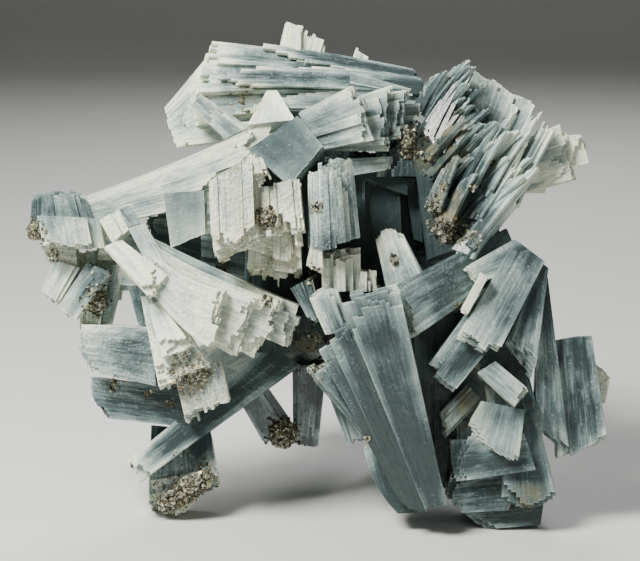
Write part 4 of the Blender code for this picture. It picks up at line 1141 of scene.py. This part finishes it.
def crust_parts(draw, node, across, up, half_width, half_height, pale):
    """A crust's lump, the grains on it and the crumbs round it."""
    low, high = (np.array(corner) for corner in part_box(node))
    middle, half = (low + high) / 2, (high - low) / 2
    shape = middle, *SPREAD.get(node, ())
    outward = draw.normal(size=(LUMP_GRAINS, 3))
    outward /= np.linalg.norm(outward, axis=1)[:, None]
    size = MM * GRAIN_SIZE * half_height**0.5 * (0.5 + 1.5 * draw.random(LUMP_GRAINS) ** 3)
    spots = middle + half * outward * (0.80 + 0.12 * draw.random((LUMP_GRAINS, 1)))
    on_lump = grains(draw, spread(spots, *shape), size, pale)
    reach = STREWN_REACH * max(half_width, half_height)
    round_it = crumbs(draw, across, up, reach, STREWN, STREWN_SIZE, pale)
    ball, ball_faces, ball_tint = lump(draw, middle, half)
    return [(spread(ball, *shape), ball_faces, ball_tint), on_lump, round_it]


draw = np.random.default_rng(7)
crusts = {}
for node, crust in CRUSTS.items():
    crusts[node] = grain_object(node.replace("ore_crust", "grains"), crust_parts(draw, node, *crust))
    print(crusts[node].name, len(crusts[node].data.polygons), "faces")
loose = grain_object("grains_loose", [crumbs(draw, *spot) for spot in CRUMBS])
print(loose.name, len(loose.data.polygons), "faces")

# %% [markdown]
# ## Materials by nodes
#
# A helper adds a node and sets or links its inputs in one call, and the others name the few kinds of node
# that the recipes need. Each finds the node tree from the socket that it is given.

# %% Helpers for node trees


def new_material(name):
    """A material with an empty tree but for a Principled shader wired to the output."""
    material = bpy.data.materials.new(name)
    material.use_nodes = True
    tree = material.node_tree
    tree.nodes.clear()
    shader = tree.nodes.new("ShaderNodeBsdfPrincipled")
    output = tree.nodes.new("ShaderNodeOutputMaterial")
    tree.links.new(shader.outputs["BSDF"], output.inputs["Surface"])
    return material, tree, shader


def add(tree, kind, inputs, **settings):
    """A node whose inputs are given by name or number, as values or as sockets to link."""
    node = tree.nodes.new("ShaderNode" + kind)
    for key, value in settings.items():
        setattr(node, key, value)
    for key, value in inputs.items():
        if isinstance(value, bpy.types.NodeSocket):
            tree.links.new(value, node.inputs[key])
        else:
            node.inputs[key].default_value = value
    return node


def calculated(operation, *values):
    """A Math node on sockets and numbers."""
    tree = next(value.id_data for value in values if isinstance(value, bpy.types.NodeSocket))
    return add(tree, "Math", dict(enumerate(values)), operation=operation).outputs[0]


def product(first, second):
    return calculated("MULTIPLY", first, second)


def total_of(*values):
    """The sum of all values, one Add after the other."""
    return reduce(lambda total, value: calculated("ADD", total, value), values)


def fade(value, low, high, at_low=0.0, at_high=1.0):
    """Map Range from low..high to at_low..at_high, clamped and smooth."""
    inputs = {"Value": value, "From Min": low, "From Max": high, "To Min": at_low, "To Max": at_high}
    return add(value.id_data, "MapRange", inputs, interpolation_type="SMOOTHSTEP").outputs[0]


def noise(vector, scale, detail=2.0, roughness=0.5):
    inputs = {"Vector": vector, "Scale": scale, "Detail": detail, "Roughness": roughness}
    return add(vector.id_data, "TexNoise", inputs).outputs[0]


def channels(colour):
    """The red, green and blue of a colour socket."""
    return add(colour.id_data, "SeparateColor", {"Color": colour}).outputs


def ramp(value, stops):
    """A Color Ramp through (position, (red, green, blue)) stops."""
    node = add(value.id_data, "ValToRGB", {"Fac": value})
    elements = node.color_ramp.elements
    while len(elements) < len(stops):
        elements.new(0.5)
    for element, (position, colour) in zip(elements, stops):
        element.position = position
        element.color = (*colour, 1.0)
    return node.outputs["Color"]


def blended(share, first, second):
    """A Mix of the colour socket first and a plain colour."""
    inputs = {"Factor": share, "A": first, "B": (*second, 1.0)}
    return add(share.id_data, "Mix", inputs, data_type="RGBA").outputs["Result"]


print("node helpers ready")

# %% [markdown]
# ## Anhydrite: what the material knows of a place
#
# Everything that whitens the crystal adds to one milkiness, and the colour is one ramp of it, from clear grey
# blue to milky white. The material starts from what the mesh carries: the lath's own look, the distance from
# the leaf's sides, how much the fan frosts, and the UV map, whose V is the distance from the tip.

# %% Inputs of the anhydrite
PER_MM = 1000.0  # UV maps are in metres
BAND_SHIFT = 60.0  # how far apart in the noise two bands of laths are

anhydrite, tree, shader = new_material("anhydrite_blades")
look = add(tree, "Attribute", {}, attribute_name="look")
milk, band, warm = channels(look.outputs["Color"])
coarseness = look.outputs["Alpha"]  # from -1, smooth, to 1, rough
rough = calculated("MAXIMUM", coarseness, 0.0)
lively = fade(coarseness, -1.0, 0.0, 0.15, 1.0)  # how much of most patterns a fan shows
cloudy = fade(coarseness, -1.0, -0.5, 0.45, 1.0)  # and how much of the clouds
rim = add(tree, "Attribute", {}, attribute_name="rim").outputs["Fac"]
frost = add(tree, "Attribute", {}, attribute_name="frost").outputs["Fac"]
uv = add(tree, "UVMap", {}, uv_map="lath").outputs["UV"]
to_tip = product(add(tree, "SeparateXYZ", {"Vector": uv}).outputs[1], PER_MM)
place_in = add(tree, "TexCoord", {}).outputs["Object"]  # in metres from the frame's origin
band_shift = add(tree, "CombineXYZ", {"Z": product(band, BAND_SHIFT)}).outputs[0]
print("inputs,", len(tree.nodes), "nodes")

# %% [markdown]
# ## Anhydrite: patterns in the crystal
#
# Noise squeezed across a lath and stretched along it makes streaks, and Voronoi cells measured by the larger
# of two distances make square flakes. Both read the laths' UV map, so they follow every fan. Hairlines are
# where a noise crosses its middle. Clouds, flaws and specks are spread through the whole cluster. Painted
# images would come round again from fan to fan, and a noise does not.


# %% Streaks, flakes, hairlines and specks
def in_lath(per_mm_across, per_mm_along):
    """The place in the UV map, scaled and moved to the band's own part of the pattern."""
    scale = (per_mm_across * PER_MM, per_mm_along * PER_MM, 0)
    return add(tree, "VectorMath", {0: uv, 1: scale, 2: band_shift}, operation="MULTIPLY_ADD").outputs[0]


def stretched(per_mm_across, per_mm_along, detail):
    return noise(in_lath(per_mm_across, per_mm_along), 1.0, detail)


def flakes(per_mm_across, per_mm_along):
    inputs = {"Vector": in_lath(per_mm_across, per_mm_along), "Scale": 1.0}
    return channels(add(tree, "TexVoronoi", inputs, distance="CHEBYCHEV").outputs["Color"])[0]


def hairlines(value, width, bright):
    """Bright where a noise is within width of its middle, and 0 elsewhere."""
    away = calculated("ABSOLUTE", calculated("SUBTRACT", value, 0.5))
    return fade(away, 0.0, width, bright, 0.0)


veils = stretched(0.22, 0.07, 3.0)
streaks = stretched(0.6, 0.05, 3.0)
fine_streaks = stretched(2.0, 0.10, 3.0)
cross_cracks = stretched(0.4, 1.6, 2.0)
wide_flakes = flakes(0.45, 0.11)
small_flakes = flakes(1.5, 0.5)
clouds = noise(place_in, 90.0, 3.0)
flaws = noise(place_in, 1300.0, 3.0, 0.65)
speck_cells = add(tree, "TexVoronoi", {"Vector": place_in, "Scale": 900.0})
chosen = fade(channels(speck_cells.outputs["Color"])[0], 0.55, 0.56)
specks = product(fade(speck_cells.outputs["Distance"], 0.10, 0.22, 0.22, 0.0), chosen)
along_lines = product(hairlines(stretched(0.9, 0.03, 1.0), 0.035, 0.13), fade(coarseness, -1.0, -0.75, 0.1))
across_lines = product(hairlines(stretched(0.16, 0.9, 2.0), 0.030, 0.16), fade(veils, 0.45, 0.60))
print("patterns,", len(tree.nodes), "nodes")

# %% [markdown]
# ## Anhydrite: milkiness
#
# Each pattern is a term of one sum, and a smooth fan has less of it. Mixing a colour for each pattern would
# do too, but a sum keeps all of them in the same family of colours. Sides, edges and tips are frosted, and
# far from the tip the crystal is darker: partly clearer crystal, partly painted shade where the roots lie
# deep in the cluster. A few balls round places of the growth frame are darker or milkier than their fans: the
# darker ones are partly clearer crystal and partly painted shade in crevices and hollows, and the milkier one
# takes the painted shade of the heart off its back.

# %% The sum of all that whitens
PLACES = [
    # across, up, deep, radius, milkiness added there
    # darker balls: partly clearer crystal, partly painted shade in crevices and hollows
    (28.0, 40.0, 3.0, 23.0, -0.40),
    (30.0, 20.0, 0.0, 18.0, -0.38),
    (44.0, 45.0, 5.0, 9.0, -0.16),
    (11.0, -29.0, -8.0, 12.0, -0.20),
    (35.0, -44.0, -6.0, 7.0, -0.25),
    (11.0, -8.0, -14.0, 13.0, -0.28),
    (25.0, -43.0, -8.0, 13.0, -0.24),
    (48.0, -54.0, -8.0, 13.0, -0.18),
    (-33.0, -42.0, 3.0, 9.0, -0.20),
    # milkier ball on the back of the heart, which takes its painted shade off there
    (0.0, 14.0, 31.0, 17.0, 0.50),
]


def near(spot, radius, core, value):
    """The value within core radii of a spot of the growth frame, fading to 0 at the radius."""
    inputs = {0: place_in, 1: on_table(place(*spot))}
    away = add(tree, "VectorMath", inputs, operation="DISTANCE").outputs["Value"]
    return fade(away, core * radius * MM, radius * MM, value, 0.0)


streaky = total_of(fade(streaks, 0.30, 0.70, -0.08, 0.08), fade(fine_streaks, 0.35, 0.65, -0.07, 0.07))
frosted = total_of(fade(rim, 0.0, 2.6, 0.20, -0.06), fade(to_tip, 0.0, 9.0, 0.30, -0.06))
whitened = total_of(
    milk,
    product(streaky, lively),
    product(fade(veils, 0.30, 0.70, -0.10, 0.10), lively),
    product(fade(clouds, 0.35, 0.65, -0.14, 0.12), cloudy),
    product(fade(wide_flakes, 0.0, 1.0, -0.06, 0.06), lively),
    product(fade(small_flakes, 0.0, 1.0, -0.04, 0.04), lively),
    product(fade(flaws, 0.58, 0.70, 0.0, 0.16), lively),
    product(fade(cross_cracks, 0.62, 0.74, 0.0, 0.14), lively),
    specks,
    along_lines,
    across_lines,
    product(frosted, frost),
    fade(rim, 0.0, 0.2, 0.14, 0.0),
    fade(to_tip, 0.0, 0.5, 0.18, 0.0),
    # darker far from the tip: partly clearer crystal, partly painted shade towards the roots deep in the
    # cluster
    fade(to_tip, 4.0, 40.0, -0.05, -0.25),
    *(near(spot, radius, 0.4, change) for *spot, radius, change in PLACES),
)
print("milkiness,", len(tree.nodes), "nodes")

# %% [markdown]
# ## Anhydrite: colour
#
# The ramp turns milkiness into colour, and its darkest end, below clear crystal, is painted shade. Warm fans
# are mottled with cream, the whitest ones have grey threads between their laths, and iron left yellow brown
# marks on the crystal in a few spots. Two spots of the same colour in the book are painted shade in its
# crevices.

# %% Colour
STAINS_AND_BOOK_SHADE = [
    # across, up, deep, radius
    (-19.0, 45.0, 3.0, 9.0),
    (-64.5, 8.0, -3.0, 5.0),
    (52.0, -56.0, -5.0, 7.0),
    (37.0, -31.0, -3.0, 9.0),
    (-1.0, -19.0, 2.0, 9.0),
    (-21.0, 30.0, -12.0, 5.0),
    (-37.0, -56.0, 3.0, 8.0),
    (-6.5, -39.0, 10.0, 6.0),
    # these two are painted shade in the crevices of the book, in the iron colour
    (29.5, 36.0, 0.0, 12.0),
    (32.0, 17.0, -4.0, 9.0),
]
SHADE_CLEAR_TO_WHITE = [
    # the darkest stop, below clear crystal, is painted shade for fans with milkiness under 0
    (0.00, (0.028, 0.046, 0.047)),
    (0.12, (0.065, 0.100, 0.103)),
    (0.30, (0.150, 0.205, 0.205)),
    (0.60, (0.365, 0.440, 0.420)),
    (0.85, (0.670, 0.730, 0.620)),
    (1.00, (0.880, 0.910, 0.740)),
]
CREAM = (0.60, 0.56, 0.40)
THREAD_GREY = (0.33, 0.40, 0.385)
RUST_AND_SHADE = (0.175, 0.160, 0.095)

mottle = noise(place_in, 260.0, 4.0)
creamy = blended(product(warm, fade(mottle, 0.42, 0.66, 0.05, 0.7)), ramp(whitened, SHADE_CLEAR_TO_WHITE), CREAM)
threads = total_of(fade(fine_streaks, 0.36, 0.58, 0.30, 0.0), fade(small_flakes, 0.0, 0.5, 0.16, 0.0))
threaded = blended(product(threads, fade(whitened, 0.55, 0.85)), creamy, THREAD_GREY)
# iron marks, and painted shade in the book's crevices
stained_and_shaded = total_of(*(near(spot, radius, 0.3, 1.0) for *spot, radius in STAINS_AND_BOOK_SHADE))
colour = blended(product(stained_and_shaded, fade(mottle, 0.38, 0.60, 0.0, 0.75)), threaded, RUST_AND_SHADE)
tree.links.new(colour, shader.inputs["Base Color"])
print("colour,", len(tree.nodes), "nodes")

# %% [markdown]
# ## Anhydrite: gloss and relief
#
# Clear faces are glassier than milky ones. The bump has the same streaks and flakes as the colour, so that a
# line is both seen and felt, and the rough blocks get a fine grain. The milk is painted, not see-through: a
# transparent cluster would show the inner walls of all its laths.

# %% Roughness and bump
REFRACTION = 1.57  # of anhydrite
BUMPS = ((fine_streaks, 0.08), (wide_flakes, 0.15), (small_flakes, 0.12))

roughness = total_of(fade(whitened, 0.1, 1.0, 0.32, 0.48), product(rough, 0.15))
tree.links.new(roughness, shader.inputs["Roughness"])
grain = product(noise(place_in, 1100.0, 3.0, 0.6), total_of(rough, 0.2))
waves = noise(place_in, 220.0, 2.0)
height = product(streaks, 0.12)
for pattern, tall in (*BUMPS, (grain, 0.75), (waves, 0.40)):
    height = calculated("MULTIPLY_ADD", pattern, tall, height)
bump = add(tree, "Bump", {"Strength": 1.0, "Distance": MM, "Height": height})
tree.links.new(bump.outputs["Normal"], shader.inputs["Normal"])
shader.inputs["IOR"].default_value = REFRACTION
print(anhydrite.name, len(tree.nodes), "nodes")

# %% [markdown]
# ## Ore
#
# A third of the grains are black or brown, most are olive to cream, and a few are brassy. Each grain's tint
# picks its place on the ramp, and the brassy end is metallic. Three materials could share out the grains,
# but one ramp has every shade between them.

# %% Ore
ORE_COLOURS = [
    (0.00, (0.008, 0.008, 0.006)),
    (0.30, (0.025, 0.021, 0.014)),
    (0.50, (0.110, 0.104, 0.062)),
    (0.75, (0.260, 0.265, 0.185)),
    (0.93, (0.480, 0.495, 0.410)),
    (1.00, (0.450, 0.340, 0.140)),
]
ORE_BUMP = 0.2 * MM


def ore_material():
    """Dark and brassy grains by their tint."""
    material, tree, shader = new_material("ore_grains")
    tint = add(tree, "Attribute", {}, attribute_name="tint").outputs["Fac"]
    place_in = add(tree, "TexCoord", {}).outputs["Object"]
    mottled = total_of(tint, fade(noise(place_in, 1500.0, 3.0), 0.3, 0.7, -0.12, 0.12))
    tree.links.new(ramp(mottled, ORE_COLOURS), shader.inputs["Base Color"])
    tree.links.new(fade(tint, 0.95, 0.98, 0.0, 0.9), shader.inputs["Metallic"])
    tree.links.new(fade(tint, 0.2, 0.9, 0.65, 0.38), shader.inputs["Roughness"])
    bump = add(tree, "Bump", {"Strength": 0.7, "Distance": ORE_BUMP, "Height": noise(place_in, 2400.0, 3.0)})
    tree.links.new(bump.outputs["Normal"], shader.inputs["Normal"])
    return material


ore = ore_material()
print(ore.name, len(ore.node_tree.nodes), "nodes")

# %% [markdown]
# ## Put the pieces on the frame
#
# The crystals stand for the solid cluster and the grains for its crusts. All of them ride on the one body.

# %% Ride and replace
for piece in crystals.values():
    piece.data.materials.append(anhydrite)
    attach(piece, "root")
    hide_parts("crystal_cluster")
for piece in (*crusts.values(), loose):
    piece.data.materials.append(ore)
    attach(piece, "root")
for node, piece in crusts.items():
    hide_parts(node)
print(len(crystals) + len(crusts) + 1, "pieces ride on root")

# %% [markdown]
# ## The floor
#
# A pale floor curves up into a backdrop, so there is no line where they meet, as there would be between two
# planes. It is staging and not a part of the cluster.

# %% A floor that turns up
FLOOR_HALF_WIDTH = 3.0
FLOOR_FRONT = -3.0
WALL_AT = 1.2
WALL_ROUND = 0.8
WALL_TOP = 3.0


def swept_floor(columns=3):
    """A profile carried straight along X: flat to WALL_AT, a quarter circle of radius WALL_ROUND, then up."""
    turn = np.linspace(0, np.pi / 2, 25)
    y = np.concatenate([[FLOOR_FRONT], WALL_AT + WALL_ROUND * np.sin(turn), [WALL_AT + WALL_ROUND]])
    z = np.concatenate([[0.0], WALL_ROUND * (1 - np.cos(turn)), [WALL_TOP]])
    x = np.linspace(-FLOOR_HALF_WIDTH, FLOOR_HALF_WIDTH, columns)
    points = np.stack(np.broadcast_arrays(x[None, :], y[:, None], z[:, None]), axis=-1).reshape(-1, 3)
    i, j = np.meshgrid(np.arange(len(y) - 1), np.arange(columns - 1), indexing="ij")
    here = i * columns + j
    faces = np.stack([here, here + 1, here + columns + 1, here + columns], axis=-1).reshape(-1, 4)
    mesh = bpy.data.meshes.new("floor")
    mesh.from_pydata(points.tolist(), [], faces.tolist())
    mesh.shade_smooth()
    return linked("floor", mesh)


floor = swept_floor()
floor_material, _, floor_shader = new_material("pale_floor")
floor_shader.inputs["Base Color"].default_value = (0.58, 0.58, 0.57, 1.0)
floor_shader.inputs["Roughness"].default_value = 0.7
floor.data.materials.append(floor_material)
print("the floor has", len(floor.data.polygons), "faces")

# %% [markdown]
# ## The light
#
# A soft light from the upper left draws the laths, a weaker and larger one opens the right side, and one from
# behind lights the edges. The world adds a little light from everywhere.

# %% Three soft lights
LIGHT_AIM = (0.0, 0.0, 0.06)
LIGHTS = [
    # name, place, size, power, colour
    ("key", (-0.25, -0.20, 0.46), 0.18, 7.4, (1.0, 0.985, 0.93)),
    ("fill", (0.75, -0.60, 0.35), 0.60, 0.8, (0.97, 1.0, 0.98)),
    ("rim", (0.10, 0.60, 0.70), 0.40, 5.0, (1.0, 1.0, 1.0)),
]


def softbox(name, place_at, size, power, colour):
    """A square area light that faces the middle of the cluster."""
    data = bpy.data.lights.new(name, "AREA")
    data.size = size
    data.energy = power
    data.color = colour
    light = linked(name, data)
    light.location = place_at
    light.rotation_euler = (Vector(LIGHT_AIM) - Vector(place_at)).to_track_quat("-Z", "Y").to_euler()


for light in LIGHTS:
    softbox(*light)
world = bpy.data.worlds.new("studio")
world.use_nodes = True
world.node_tree.nodes["Background"].inputs["Color"].default_value = (0.88, 0.92, 0.90, 1.0)
world.node_tree.nodes["Background"].inputs["Strength"].default_value = 0.10
bpy.context.scene.world = world
print(len(LIGHTS), "lights")

# %% [markdown]
# ## The camera
#
# The camera stands at the eye of the growth frame and looks along its line of sight.

# %% The camera
camera = linked("camera", bpy.data.cameras.new("camera"))
camera.data.lens = 100.0
camera.data.sensor_width = 36.0
camera.location = EYE
camera.rotation_euler = Vector(lean_matrix() @ np.array([0.0, 1.0, 0.0])).to_track_quat("-Z", "Y").to_euler()
bpy.context.scene.camera = camera
print("camera", [round(x, 3) for x in camera.location])
